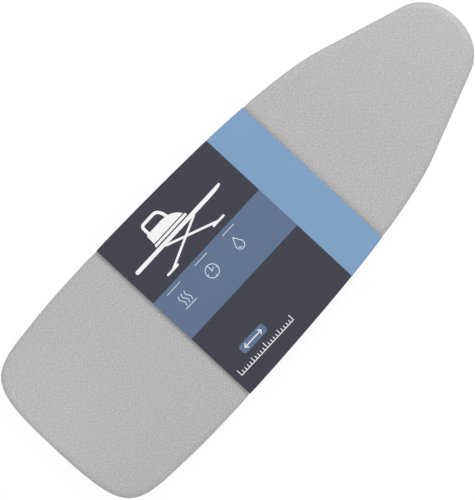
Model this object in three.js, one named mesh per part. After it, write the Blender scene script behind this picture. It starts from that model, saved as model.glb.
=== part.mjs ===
// An ironing board cover in the shape it has on its board, with its printed card sleeve round the
// middle. Millimetres, +Z up, +X from the tail towards the nose, +Y to the left. The silver side is
// up, and the origin is on the surface that the sleeve lies on, under the middle of the cover.
import * as THREE from 'three';

// The cover as it lies over its board
const coverLength = 1250;
const coverWidth = 446;
const boardDepth = 18; // room for the board between the hem and the felt

// Silver cloth: one skin, over the pads, down the edge and in under the board
const clothThickness = 0.8;
const crownWidth = 14; // how far in the padded edge starts to round over
const crownDrop = 8; // from the flat top down to where the wall is upright
const bottomEdgeRadius = 5;
const skirtReach = 46; // from the cover's outline in to the cut edge of the skirt
const skirtFlatStart = 14; // where the drawn-in skirt has risen to the height of its hem

// Pads
const foamThickness = 3;
const feltThickness = 4;

// Hem: a binding folded over the cut edge, with the elastic in its fold
const bindingThickness = 0.5;
const bindingOverlap = 5; // how far each leg of the binding covers the skirt
const elasticWidth = 6;
const elasticThickness = 0.8;

// Straps: elastic webbing from one side of the skirt to the other, closed by hook and loop tape
const strapWidth = 20;
const webbingThickness = 0.8;
const tapeThickness = 0.8;
const tapeShare = 0.74; // of the flat of the skirt: hook tape, loop tape and folded, sewn end alike
// Places along the cover, as shares of its length from its middle
const strapPlaces = [
  { name: 'tail_strap_1', placeShare: -0.416 },
  { name: 'tail_strap_2', placeShare: -0.276 },
  { name: 'nose_strap_1', placeShare: 0.19 },
  { name: 'nose_strap_2', placeShare: 0.308 },
];

// Card sleeve round the middle
const cardThickness = 0.5;
const sleeveTailX = -257;
const sleeveNoseX = 176;
const sleeveTopCrease = 4; // outside radius of the card's bend
const sleeveBottomCrease = 3;
const lapY = 25; // middle of the glued lap in the bottom panel
const lapWidth = 30;
const lapRamp = 12; // run in which the inner flap climbs onto the outer one
const glueThickness = 0.25;
const glueMargin = 5; // from the glue to the edges of the lap and of the card
const sleeveEase = 4.5; // how far the card's top panel spans clear of the padded cloth

// Clearances
const layerGap = 0.3; // between two things that lie on each other
const slideGap = 0.35; // between the sleeve's lap and what it slides under
const sewingMargin = 0.6; // between a sewn tape and the edge of the flat part of the skirt

// Facets
const bendSteps = 3; // a rounded edge
const crownSteps = 5; // the padded edge's wide rounding
const foldSteps = 4; // a fold of thin cloth or webbing
const riseSteps = 3; // the skirt's rise to its hem

// One half of the plan outline, from the middle of the tail to the tip of the nose. Each run has its
// two curve handles and its end, as shares of the cover's length and half width. The flank is straight.
const outlineShares = [
  { first: [0, 0.8251], second: [0.0122, 0.9323], end: [0.1048, 0.9686], steps: 11 },
  { first: [0.179, 0.9977], second: [0.1768, 1], end: [0.3048, 1], steps: 5 },
  { first: [0.3376, 1], second: [0.5416, 0.9758], end: [0.6432, 0.9058], steps: 7 },
  { first: [0.6638, 0.8916], second: [0.75, 0.8375], end: [0.7976, 0.7444], steps: 4 },
  { flankEnd: [0.9512, 0.4439] },
  { first: [0.9708, 0.4055], second: [1, 0.2735], end: [1, 0], steps: 8 },
];

// Heights, from the surface up
const flapZ = cardThickness + glueThickness; // the inner flap's lower face
const undersideZ = flapZ + cardThickness + slideGap;
const hookZ = undersideZ + webbingThickness + layerGap;
const loopZ = hookZ + tapeThickness + layerGap;
const skirtZ = loopZ + tapeThickness + layerGap;
const bindingZ = skirtZ - layerGap - bindingThickness;
const bindingTopZ = skirtZ + clothThickness + layerGap + bindingThickness;
const feltZ = bindingTopZ + layerGap + boardDepth;
const foamZ = feltZ + feltThickness + layerGap;
const coverTopZ = foamZ + foamThickness + layerGap + clothThickness;
const sleeveTopZ = coverTopZ + sleeveEase + cardThickness;

// Insets of the hem, from the cover's outline
const bindingStart = skirtReach - bindingOverlap;
const bindingFold = skirtReach + layerGap + elasticWidth;
const bindingFoldRadius = (bindingTopZ - bindingZ) / 2;
const bindingEnd = bindingFold + bindingFoldRadius;
const tapeLength = tapeShare * (bindingStart - skirtFlatStart);

const coverOutline = halfOutline();
const straps = strapPlaces.map(({ name, placeShare }) => (
  strapSizes(name, placeShare * coverLength)
));

const paint = {
  silverCloth: { color: 0xb9bbbc, roughness: 0.55, metalness: 0.25 },
  foam: { color: 0xe6e1d3, roughness: 0.95, metalness: 0 },
  felt: { color: 0xd8d6d0, roughness: 1, metalness: 0 },
  binding: { color: 0x8d9094, roughness: 0.85, metalness: 0 },
  elastic: { color: 0xeeeeea, roughness: 0.8, metalness: 0 },
  webbing: { color: 0x2b2c2f, roughness: 0.85, metalness: 0 },
  tape: { color: 0x1d1e20, roughness: 0.9, metalness: 0 },
  card: { color: 0x44444d, roughness: 0.45, metalness: 0 },
  glue: { color: 0xe9e2c8, roughness: 0.4, metalness: 0 },
};

// The half outline as points with y of zero or more, from the tail to the nose
function halfOutline() {
  const place = ([along, across]) => new THREE.Vector2(
    (along - 1 / 2) * coverLength, (across * coverWidth) / 2,
  );
  const points = [place([0, 0])];
  for (const run of outlineShares) {
    const start = points[points.length - 1];
    if (run.flankEnd) {
      points.push(place(run.flankEnd));
    } else {
      const curve = new THREE.CubicBezierCurve(
        start, place(run.first), place(run.second), place(run.end),
      );
      points.push(...curve.getPoints(run.steps).slice(1));
    }
  }
  return points;
}

// The whole outline moved in by a distance, anticlockwise seen from above, from the nose's tip
function insetOutline(inset) {
  const left = coverOutline.slice().reverse();
  const right = coverOutline.slice(1, -1).map((point) => new THREE.Vector2(point.x, -point.y));
  const loop = [...left, ...right];
  return loop.map((point, index) => {
    const before = loop[(index + loop.length - 1) % loop.length];
    const after = loop[(index + 1) % loop.length];
    const arriving = point.clone().sub(before).normalize();
    const leaving = after.clone().sub(point).normalize();
    const along = arriving.clone().add(leaving).normalize();
    const inward = new THREE.Vector2(-along.y, along.x);
    return inward.multiplyScalar(inset / along.dot(arriving)).add(point);
  });
}

// Half the width of the inset outline at a place along the cover
function halfWidthAt(x, inset = 0) {
  const loop = insetOutline(inset);
  let half = 0;
  loop.forEach((point, index) => {
    const after = loop[(index + 1) % loop.length];
    if ((point.x - x) * (after.x - x) <= 0 && point.x !== after.x) {
      const share = (x - point.x) / (after.x - point.x);
      half = Math.max(half, point.y + share * (after.y - point.y));
    }
  });
  return half;
}

// A closed body skinned over rings of points, each anticlockwise seen from where the rings lead to.
// The first and last ring are capped, or joined to each other when the rings close on themselves.
function skinRings(rings, flatten) {
  const count = rings[0].length;
  const positions = rings.flat().flatMap((point) => point.toArray());
  const index = [];
  const bands = flatten ? rings.length - 1 : rings.length;
  for (let band = 0; band < bands; band += 1) {
    const low = band * count;
    const high = ((band + 1) % rings.length) * count;
    for (let side = 0; side < count; side += 1) {
      const next = (side + 1) % count;
      index.push(low + side, low + next, high + next, low + side, high + next, high + side);
    }
  }
  if (flatten) {
    const lastRing = (rings.length - 1) * count;
    for (const [a, b, c] of THREE.ShapeUtils.triangulateShape(rings[0].map(flatten), [])) {
      index.push(a, c, b);
    }
    for (const [a, b, c] of THREE.ShapeUtils.triangulateShape(rings.at(-1).map(flatten), [])) {
      index.push(lastRing + a, lastRing + b, lastRing + c);
    }
  }
  const geometry = new THREE.BufferGeometry();
  geometry.setAttribute('position', new THREE.Float32BufferAttribute(positions, 3));
  geometry.setIndex(index);
  geometry.computeVertexNormals();
  return geometry;
}

// Rings round the plan outline, one for each inset and height of a profile
function planRings(profile) {
  return profile.map(({ inset, z }) => (
    insetOutline(inset).map((point) => new THREE.Vector3(point.x, point.y, z))
  ));
}

const fromAbove = (point) => new THREE.Vector2(point.x, point.y);
const fromTheNose = (point) => new THREE.Vector2(point.y, point.z);

// Points of an arc in a profile, as insets and heights; angles in quarter turns from straight in.
// An oval arc has its own reach along the insets and its own rise.
function profileArc(centre, reach, rise, startQuarter, endQuarter, steps) {
  return Array.from({ length: steps + 1 }, (_, step) => {
    const quarter = startQuarter + ((endQuarter - startQuarter) * step) / steps;
    const angle = (quarter * Math.PI) / 2;
    return {
      inset: centre.inset + reach * Math.cos(angle),
      z: centre.z + rise * Math.sin(angle),
    };
  });
}

// One face of the cloth, from the flat top down to the cut edge; the depth is that under the skin
function clothFace(depth) {
  const topCentre = { inset: crownWidth, z: coverTopZ - crownDrop };
  const bottomCentre = { inset: bottomEdgeRadius, z: undersideZ + bottomEdgeRadius };
  const bottomRadius = bottomEdgeRadius - depth;
  const rise = Array.from({ length: riseSteps }, (_, step) => {
    const share = (step + 1) / riseSteps;
    const eased = THREE.MathUtils.smoothstep(share, 0, 1);
    return {
      inset: THREE.MathUtils.lerp(bottomEdgeRadius, skirtFlatStart, share),
      z: THREE.MathUtils.lerp(undersideZ, skirtZ, eased) + depth,
    };
  });
  return [
    ...profileArc(topCentre, crownWidth - depth, crownDrop - depth, 1, 2, crownSteps),
    ...profileArc(bottomCentre, bottomRadius, bottomRadius, 2, 3, bendSteps),
    ...rise,
    { inset: skirtReach, z: skirtZ + depth },
  ];
}

function coverCloth() {
  const inner = clothFace(clothThickness);
  const outer = clothFace(0).reverse();
  return skinRings(planRings([...inner, ...outer]), fromAbove);
}

// A pad whose edge follows the inside of the cloth's rounded top edge
function pad(bottomZ, thickness) {
  const centreZ = coverTopZ - crownDrop;
  const reach = crownWidth - clothThickness - layerGap;
  const rise = crownDrop - clothThickness - layerGap;
  const profile = Array.from({ length: bendSteps + 1 }, (_, step) => {
    const z = bottomZ + (thickness * step) / bendSteps;
    const above = Math.min(Math.max(z - centreZ, 0) / rise, 1);
    return { inset: crownWidth - reach * Math.sqrt(1 - above * above), z };
  });
  return skinRings(planRings(profile), fromAbove);
}

// The binding: two legs that take the skirt's cut edge between them, joined by the fold
function hemBinding() {
  const foldCentre = { inset: bindingFold, z: (bindingZ + bindingTopZ) / 2 };
  const innerRadius = bindingFoldRadius - bindingThickness;
  const profile = [
    { inset: bindingStart, z: bindingZ },
    { inset: bindingStart, z: bindingZ + bindingThickness },
    ...profileArc(foldCentre, innerRadius, innerRadius, -1, 1, foldSteps),
    { inset: bindingStart, z: bindingTopZ - bindingThickness },
    { inset: bindingStart, z: bindingTopZ },
    ...profileArc(foldCentre, bindingFoldRadius, bindingFoldRadius, 1, -1, foldSteps),
  ];
  return skinRings(planRings(profile));
}

// The flat elastic that lies in the binding's fold, beside the cut edge of the skirt
function hemElastic() {
  const outside = skirtReach + layerGap;
  const inside = outside + elasticWidth;
  const lowZ = (bindingZ + bindingTopZ - elasticThickness) / 2;
  const highZ = lowZ + elasticThickness;
  return skinRings(planRings([
    { inset: outside, z: lowZ },
    { inset: outside, z: highZ },
    { inset: inside, z: highZ },
    { inset: inside, z: lowZ },
  ]));
}

// Where a strap's tapes and its webbing begin and end across the cover
function strapSizes(name, x) {
  const edges = [x - strapWidth / 2, x + strapWidth / 2];
  const narrowest = (inset) => Math.min(...edges.map((edge) => halfWidthAt(edge, inset)));
  const tapeOutside = narrowest(skirtFlatStart) - sewingMargin;
  return {
    name,
    x,
    tapeOutside,
    tapeInside: tapeOutside - tapeLength,
    hemInside: narrowest(bindingEnd),
    rootY: tapeOutside - tapeLength - layerGap,
    rootZ: bindingZ - layerGap - webbingThickness,
  };
}

// A shape drawn in Y and Z, extruded over the strap's width along X
function acrossStrap(shape, strap) {
  const geometry = new THREE.ExtrudeGeometry(shape, {
    depth: strapWidth,
    bevelEnabled: false,
    curveSegments: foldSteps,
  });
  const turn = new THREE.Matrix4().makeBasis(
    new THREE.Vector3(0, 1, 0), new THREE.Vector3(0, 0, 1), new THREE.Vector3(1, 0, 0),
  );
  return geometry.applyMatrix4(turn).translate(strap.x - strapWidth / 2, 0, 0);
}

// The webbing's end, folded double and sewn under the left side of the skirt
function strapSewnEnd(strap) {
  const radius = webbingThickness;
  const shape = new THREE.Shape();
  shape.moveTo(strap.tapeInside, strap.rootZ);
  shape.lineTo(strap.tapeOutside - radius, strap.rootZ);
  shape.absarc(strap.tapeOutside - radius, strap.rootZ + radius, radius, -Math.PI / 2, Math.PI / 2);
  shape.lineTo(strap.tapeInside, strap.rootZ + 2 * radius);
  return acrossStrap(shape, strap);
}

// The free webbing: under the left hem, down across the opening and under the loop tape on the right
function strapWebbing(strap) {
  const underside = [
    [strap.rootY, strap.rootZ],
    [strap.hemInside, strap.rootZ],
    [-strap.hemInside, undersideZ],
    [-strap.tapeOutside, undersideZ],
  ];
  const topside = underside.map(([y, z]) => [y, z + webbingThickness]).reverse();
  const shape = new THREE.Shape([...underside, ...topside].map(([y, z]) => new THREE.Vector2(y, z)));
  return acrossStrap(shape, strap);
}

// Hook tape on the webbing, or loop tape on the skirt, at the strap's right end
function strapTape(strap, z) {
  const shape = new THREE.Shape([
    new THREE.Vector2(-strap.tapeOutside, z),
    new THREE.Vector2(-strap.tapeInside, z),
    new THREE.Vector2(-strap.tapeInside, z + tapeThickness),
    new THREE.Vector2(-strap.tapeOutside, z + tapeThickness),
  ]);
  return acrossStrap(shape, strap);
}

// Where the sleeve's section is drawn: at both its ends and at each bend of the cover's outline
function sleeveStations() {
  const between = coverOutline.map((point) => point.x)
    .filter((x) => x > sleeveTailX && x < sleeveNoseX);
  return [sleeveTailX, ...between, sleeveNoseX];
}

// The card's outer face in one section, anticlockwise from the inner flap's free edge seen from the
// nose, as points with the direction in which the card's thickness lies
function cardPath(x) {
  const half = halfWidthAt(x) + layerGap + cardThickness;
  const innerFlapEnd = lapY - lapWidth / 2;
  const outerFlapEnd = lapY + lapWidth / 2;
  const corner = (side, z, radius, startQuarter) => Array.from({ length: bendSteps + 1 }, (_, step) => {
    const angle = ((startQuarter + step / bendSteps) * Math.PI) / 2;
    const outward = new THREE.Vector2(Math.cos(angle), Math.sin(angle));
    const centre = new THREE.Vector2(side * (half - radius), z);
    return { point: centre.addScaledVector(outward, radius), inward: outward.negate() };
  });
  const flat = (y, z) => ({ point: new THREE.Vector2(y, z), inward: new THREE.Vector2(0, 1) });
  const bottomBend = sleeveBottomCrease;
  const topBend = sleeveTopCrease;
  return [
    flat(innerFlapEnd, flapZ),
    flat(outerFlapEnd + layerGap, flapZ),
    flat(outerFlapEnd + layerGap + lapRamp, 0),
    ...corner(1, bottomBend, bottomBend, -1),
    ...corner(1, sleeveTopZ - topBend, topBend, 0),
    ...corner(-1, sleeveTopZ - topBend, topBend, 1),
    ...corner(-1, bottomBend, bottomBend, 2),
    flat(outerFlapEnd, 0),
  ];
}

// The sleeve: one creased and lapped card that follows the cover's sides
function sleeveCard() {
  const rings = sleeveStations().map((x) => {
    const path = cardPath(x);
    const outer = path.map(({ point }) => new THREE.Vector3(x, point.x, point.y));
    const inner = path.map(({ point, inward }) => {
      const inside = point.clone().addScaledVector(inward, cardThickness);
      return new THREE.Vector3(x, inside.x, inside.y);
    });
    return [...outer, ...inner.reverse()];
  });
  return skinRings(rings, fromTheNose);
}

// The glue between the flaps of the lap
function sleeveGlue() {
  const length = sleeveNoseX - sleeveTailX - 2 * glueMargin;
  const glue = new THREE.BoxGeometry(length, lapWidth - 2 * glueMargin, glueThickness);
  const middleX = (sleeveTailX + sleeveNoseX) / 2;
  return glue.translate(middleX, lapY, cardThickness + glueThickness / 2);
}

// One named piece with its own material
function piece(name, geometry, look) {
  const mesh = new THREE.Mesh(geometry, new THREE.MeshStandardMaterial(look));
  mesh.name = name;
  return mesh;
}

const ironingBoardCover = new THREE.Group();
ironingBoardCover.add(
  piece('cover_cloth', coverCloth(), paint.silverCloth),
  piece('foam_pad', pad(foamZ, foamThickness), paint.foam),
  piece('felt_pad', pad(feltZ, feltThickness), paint.felt),
  piece('hem_binding', hemBinding(), paint.binding),
  piece('hem_elastic', hemElastic(), paint.elastic),
);
for (const strap of straps) {
  ironingBoardCover.add(
    piece(`${strap.name}_sewn_end`, strapSewnEnd(strap), paint.webbing),
    piece(`${strap.name}_webbing`, strapWebbing(strap), paint.webbing),
    piece(`${strap.name}_hook_tape`, strapTape(strap, hookZ), paint.tape),
    piece(`${strap.name}_loop_tape`, strapTape(strap, loopZ), paint.tape),
  );
}
ironingBoardCover.add(
  piece('sleeve_card', sleeveCard(), paint.card),
  piece('sleeve_glue', sleeveGlue(), paint.glue),
);

export default ironingBoardCover;
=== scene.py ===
"""An ironing board cover in its printed card sleeve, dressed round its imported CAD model.

The cover has the shape that it takes on a board: silver cloth over a foam and a felt layer, a skirt
drawn in by an elastic hem, and four straps across the underside. A card sleeve goes round the middle.
Lengths are in metres. +X runs from the wide tail to the narrow nose, +Y to the left and +Z up.
"""

from __future__ import annotations

import logging
import math
import random
from dataclasses import dataclass
from enum import Enum
from typing import Iterable, Sequence

import bmesh
import bpy
from mathutils import Matrix, Vector, geometry, noise

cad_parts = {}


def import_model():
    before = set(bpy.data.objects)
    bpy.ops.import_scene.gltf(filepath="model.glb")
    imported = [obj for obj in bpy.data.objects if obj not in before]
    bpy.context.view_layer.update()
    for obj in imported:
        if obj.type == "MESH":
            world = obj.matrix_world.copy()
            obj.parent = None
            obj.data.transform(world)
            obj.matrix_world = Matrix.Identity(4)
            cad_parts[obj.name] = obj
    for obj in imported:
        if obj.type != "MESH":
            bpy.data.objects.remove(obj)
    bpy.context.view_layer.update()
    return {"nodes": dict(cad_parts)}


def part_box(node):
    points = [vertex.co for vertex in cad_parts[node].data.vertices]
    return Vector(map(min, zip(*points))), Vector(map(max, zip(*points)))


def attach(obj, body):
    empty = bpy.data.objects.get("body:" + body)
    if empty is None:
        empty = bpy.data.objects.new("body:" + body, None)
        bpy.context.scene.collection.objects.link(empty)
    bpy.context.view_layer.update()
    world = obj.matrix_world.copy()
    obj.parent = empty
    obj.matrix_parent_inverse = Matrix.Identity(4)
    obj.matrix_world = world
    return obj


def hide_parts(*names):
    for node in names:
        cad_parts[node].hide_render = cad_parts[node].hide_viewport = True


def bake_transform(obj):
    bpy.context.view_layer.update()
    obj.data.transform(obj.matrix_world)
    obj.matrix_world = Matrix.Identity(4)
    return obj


LOG = logging.getLogger("ironing_board_cover")

MM = 0.001
QUARTER_TURN = math.pi / 2
CREASE = math.radians(50)
UP = Vector((0.0, 0.0, 1.0))
WHITE = (1.0, 1.0, 1.0, 1.0)
FLAT_MAP = "laid_flat"
SLEEVE_SQUEEZE = 1.4 * MM  # how far in the sleeve holds each side of the soft cover
STRAP_NAMES = ("tail_strap_1", "tail_strap_2", "nose_strap_1", "nose_strap_2")

Place = tuple[float, float]
SectionPoint = tuple[float, float, float]  # a place with its angle or a share
Colour = tuple[int, int, int]
Socket = bpy.types.NodeSocket


def smooth_share(value: float, low: float, high: float) -> float:
    """Gives the smooth step of a value between two limits.

    Args:
        value: The value to place between the limits.
        low: Where the step is 0.
        high: Where the step is 1.

    Returns:
        A share from 0 to 1 that leaves and arrives level.
    """
    share = min(max((value - low) / (high - low), 0.0), 1.0)
    return share * share * (3.0 - 2.0 * share)


def lerp(low: float, high: float, share: float) -> float:
    """Returns the value at a share of the way from low to high."""
    return low + (high - low) * share


def runs_along(points: Sequence[Sequence[float]]) -> list[float]:
    """Gives how far along a path each of its points lies.

    Args:
        points: The path's points, of which only the first two numbers are read.

    Returns:
        The length of the path up to each point, which starts at 0.
    """
    runs = [0.0]
    for start, end in zip(points, points[1:]):
        runs.append(runs[-1] + math.hypot(end[0] - start[0], end[1] - start[1]))
    return runs


def linear_colour(red: int, green: int, blue: int) -> tuple[float, ...]:
    """Gives a colour for a shader from the three numbers that a paint program shows.

    Args:
        red: Red, from 0 to 255.
        green: Green, from 0 to 255.
        blue: Blue, from 0 to 255.

    Returns:
        The colour in linear light, with an alpha of 1.
    """
    def channel(value: int) -> float:
        """Returns one channel in linear light."""
        share = value / 255.0
        return share / 12.92 if share <= 0.04045 else ((share + 0.055) / 1.055) ** 2.4

    return (channel(red), channel(green), channel(blue), 1.0)


class NodeSheet:
    """The node tree of a material or a world, with short calls that add nodes and join them."""

    def __init__(self, owner: bpy.types.Material | bpy.types.World) -> None:
        """Opens the owner's node tree."""
        owner.use_nodes = True
        self.tree = owner.node_tree

    def first(self, kind: str) -> bpy.types.Node:
        """Returns the first node of a type."""
        return next(node for node in self.tree.nodes if node.type == kind)

    def add(self, kind: str, inputs: dict, **settings: object) -> bpy.types.Node:
        """Adds a node.

        Args:
            kind: The node's type, without its ShaderNode prefix.
            inputs: A value or another node's socket for each input, by name or number.
            settings: The node's own properties.

        Returns:
            The new node.
        """
        node = self.tree.nodes.new("ShaderNode" + kind)
        for key, value in settings.items():
            setattr(node, key, value)
        for key, value in inputs.items():
            self.feed(node.inputs[key], value)
        return node

    def feed(self, socket: Socket, value: object) -> None:
        """Joins another node's socket to an input, or sets the input to a plain value."""
        if isinstance(value, Socket):
            self.tree.links.new(value, socket)
        else:
            socket.default_value = value

    def math(self, operation: str, *values: object) -> Socket:
        """Returns the result of one Math node on sockets or numbers."""
        return self.add("Math", dict(enumerate(values)), operation=operation).outputs[0]

    def range(self, value: Socket, low: float, high: float, start: float = 0.0,
              end: float = 1.0) -> Socket:
        """Returns a value from start to end brought to the range from low to high."""
        inputs = {0: value, 1: start, 2: end, 3: low, 4: high}
        return self.add("MapRange", inputs).outputs[0]

    def mix_shaders(self, share: Socket, first: bpy.types.Node,
                    second: bpy.types.Node) -> bpy.types.Node:
        """Returns a shader that goes from the first to the second as the share goes from 0 to 1."""
        return self.add("MixShader", {0: share, 1: first.outputs[0], 2: second.outputs[0]})

    def seen_share(self) -> Socket:
        """Returns 1 for a ray from the camera or sent on by gloss or glass, and 0 for the rest."""
        rays = self.add("LightPath", {}).outputs
        seen = self.math("MAXIMUM", rays["Is Camera Ray"], rays["Is Glossy Ray"])
        return self.math("MAXIMUM", seen, rays["Is Transmission Ray"])


class FinishSheet(NodeSheet):
    """The node tree of one finish, which fills the inputs of its shader."""

    def __init__(self, name: str) -> None:
        """Starts a material that holds only a shader and its output."""
        self.material = bpy.data.materials.new(name)
        super().__init__(self.material)
        self.shader = self.first("BSDF_PRINCIPLED")

    def product(self, first: Socket, *others: Socket) -> Socket:
        """Returns the product of values, which multiply the first in turn."""
        for other in others:
            first = self.math("MULTIPLY", first, other)
        return first

    def object_place(self) -> Socket:
        """Returns the place on the object, in metres."""
        return self.add("TexCoord", {}).outputs["Object"]

    def laid_flat(self) -> Socket:
        """Returns the place on the piece laid flat, in metres."""
        return self.add("UVMap", {}, uv_map=FLAT_MAP).outputs["UV"]

    def scaled(self, place: Socket, scale: Sequence[float]) -> Socket:
        """Returns a place multiplied along each axis."""
        return self.add("Mapping", {"Vector": place, "Scale": tuple(scale)}).outputs[0]

    def turned(self, place: Socket, degrees: float) -> Socket:
        """Returns a place turned about Z."""
        turn = (0.0, 0.0, math.radians(degrees))
        return self.add("Mapping", {"Vector": place, "Rotation": turn}).outputs[0]

    def cloud(self, place: Socket, size: float, detail: float = 2.0) -> Socket:
        """Returns soft noise from 0 to 1 whose lumps have about the given size in metres."""
        inputs = {"Vector": place, "Scale": 1.0 / size, "Detail": detail}
        return self.add("TexNoise", inputs).outputs[0]

    def cells(self, place: Socket, size: float) -> Socket:
        """Returns the distance to the middle of the nearest cell of the given size."""
        return self.add("TexVoronoi", {"Vector": place, "Scale": 1.0 / size}).outputs["Distance"]

    def blend_colours(self, share: object, first: object, second: object) -> Socket:
        """Returns a colour that goes from the first to the second as the share goes from 0 to 1."""
        node = self.add("Mix", {0: share, 6: first, 7: second}, data_type="RGBA")
        return node.outputs[2]

    def lit(self, colour: Colour, brightness: Socket) -> Socket:
        """Returns a colour, from 0 to 255, with its brightness multiplied by a value."""
        inputs = {"Color": linear_colour(*colour), "Value": brightness}
        return self.add("HueSaturation", inputs).outputs[0]

    def plain_weave(self, place: Socket, pitch: float) -> Socket:
        """Gives the height of a plain weave, from about 0 between threads to 1 on their crowns.

        Args:
            place: The place on the cloth laid flat, in metres.
            pitch: The distance between threads.

        Returns:
            The height, with the crowns of warp and weft lying across each other in turn.
        """
        turned = self.scaled(place, [math.pi / pitch] * 3)
        split = self.add("SeparateXYZ", {0: turned})
        across = self.math("SINE", split.outputs[0])
        along = self.math("SINE", split.outputs[1])
        crown = self.math("MULTIPLY", across, along)
        warp = self.math("ABSOLUTE", across)
        weft = self.math("ABSOLUTE", along)
        lean = self.math("MULTIPLY", self.math("SIGN", crown), self.math("SUBTRACT", warp, weft))
        return self.math("MULTIPLY_ADD", lean, 0.3, self.math("ABSOLUTE", crown))

    def ribs(self, place: Socket, pitch: float, axis: int) -> Socket:
        """Returns the height of rounded ribs, one for each pitch along an axis of the flat piece."""
        split = self.add("SeparateXYZ", {0: self.scaled(place, [math.pi / pitch] * 3)})
        return self.math("ABSOLUTE", self.math("SINE", split.outputs[axis]))

    def raise_surface(self, height: Socket, depth: float, strength: float = 1.0) -> None:
        """Gives the surface a relief.

        Args:
            height: The relief's height, from 0 to 1.
            depth: How deep the relief is, in metres.
            strength: How much of it shows.
        """
        inputs = {"Height": height, "Distance": depth, "Strength": strength}
        joined = self.shader.inputs["Normal"].links
        if joined:
            inputs["Normal"] = joined[0].from_socket
        self.feed(self.shader.inputs["Normal"], self.add("Bump", inputs).outputs[0])

    def set_shader(self, **values: object) -> None:
        """Sets or joins the shader's inputs, named with underscores for spaces."""
        for key, value in values.items():
            self.feed(self.shader.inputs[key.replace("_", " ")], value)


@dataclass(frozen=True)
class SilverCloth:
    """Cotton in a plain weave with a thin silver coating, uneven where its threads are thicker."""

    colour: Colour = (185, 185, 185)
    thread_pitch: float = 0.5 * MM
    grain: float = 1.35 * MM
    slub_width: float = 1.25 * MM
    slub_share: float = 0.28
    mottle: float = 34 * MM

    def build(self) -> bpy.types.Material:
        """Returns the finish as a material."""
        sheet = FinishSheet("silver_cloth")
        flat = sheet.laid_flat()
        weave = sheet.plain_weave(flat, self.thread_pitch)
        grain = sheet.cloud(flat, self.grain, 3.0)
        warp = sheet.cloud(sheet.scaled(flat, (self.slub_share, 1.0, 1.0)), self.slub_width, 2.0)
        weft = sheet.cloud(sheet.scaled(flat, (1.0, self.slub_share, 1.0)), self.slub_width, 2.0)
        mottle = sheet.cloud(flat, self.mottle, 2.0)
        tone = sheet.product(
            sheet.range(grain, 0.65, 1.35, 0.3, 0.7),
            # The weave makes the cloth darker between its threads and lighter on their crowns: painted
            # shade in the gaps of the weave.
            sheet.range(weave, 0.95, 1.03),
            sheet.range(warp, 0.78, 1.22, 0.25, 0.75),
            sheet.range(weft, 0.78, 1.22, 0.25, 0.75),
            sheet.range(mottle, 0.985, 1.015),
        )
        sheet.set_shader(
            Base_Color=sheet.lit(self.colour, tone),
            Metallic=0.3,
            Roughness=sheet.range(grain, 0.56, 0.72, 0.3, 0.7),
            Sheen_Weight=0.08,
            Sheen_Roughness=0.5,
        )
        sheet.raise_surface(weave, 0.06 * MM, 0.6)
        sheet.raise_surface(sheet.math("ADD", warp, weft), 0.12 * MM, 0.5)
        return sheet.material


@dataclass(frozen=True)
class NeedledFelt:
    """Off-white needled felt with loose fibres and rows of needle marks, whose dimples are painted
    darker as shade.
    """

    colour: Colour = (221, 218, 210)
    fibre: float = 0.9 * MM
    fibre_stretch: tuple[float, float, float] = (0.2, 1.0, 1.0)
    fibre_turns: tuple[float, ...] = (52.0, 107.0, 151.0)
    lump: float = 16 * MM
    needle_pitch: float = 3.2 * MM

    def build(self) -> bpy.types.Material:
        """Returns the finish as a material."""
        sheet = FinishSheet("needled_felt")
        place = sheet.object_place()
        fibres = sheet.cloud(sheet.scaled(place, self.fibre_stretch), self.fibre, 4.0)
        for turn in self.fibre_turns:
            laid = sheet.scaled(sheet.turned(place, turn), self.fibre_stretch)
            fibres = sheet.math("MAXIMUM", fibres, sheet.cloud(laid, self.fibre, 4.0))
        lumps = sheet.cloud(place, self.lump, 3.0)
        marks = sheet.range(sheet.cells(place, self.needle_pitch), 0.0, 1.0, 0.02, 0.3)
        tone = sheet.product(
            sheet.range(fibres, 0.8, 1.06, 0.42, 0.74),
            sheet.range(lumps, 0.95, 1.04),
            # Darker in the middle of each needle mark: painted shade in the dimple.
            sheet.range(marks, 0.93, 1.0),
        )
        sheet.set_shader(
            Base_Color=sheet.lit(self.colour, tone),
            Roughness=0.95,
            Sheen_Weight=0.25,
            Sheen_Roughness=0.6,
        )
        sheet.raise_surface(fibres, 0.35 * MM, 0.7)
        sheet.raise_surface(marks, 0.3 * MM, 0.6)
        return sheet.material


@dataclass(frozen=True)
class OpenCellFoam:
    """Cream foam with fine open cells, painted darker in their pits as shade."""

    colour: Colour = (233, 226, 203)
    cell: float = 0.8 * MM
    stain: float = 25 * MM

    def build(self) -> bpy.types.Material:
        """Returns the finish as a material."""
        sheet = FinishSheet("open_cell_foam")
        place = sheet.object_place()
        cells = sheet.cells(place, self.cell)
        stains = sheet.cloud(place, self.stain)
        # Darker in the middle of each cell, where its open pit is: painted shade.
        tone = sheet.product(sheet.range(cells, 0.78, 1.02, 0.0, 0.5), sheet.range(stains, 0.96, 1.03))
        sheet.set_shader(Base_Color=sheet.lit(self.colour, tone), Roughness=0.9)
        sheet.raise_surface(cells, 0.4 * MM, 0.8)
        return sheet.material


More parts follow.
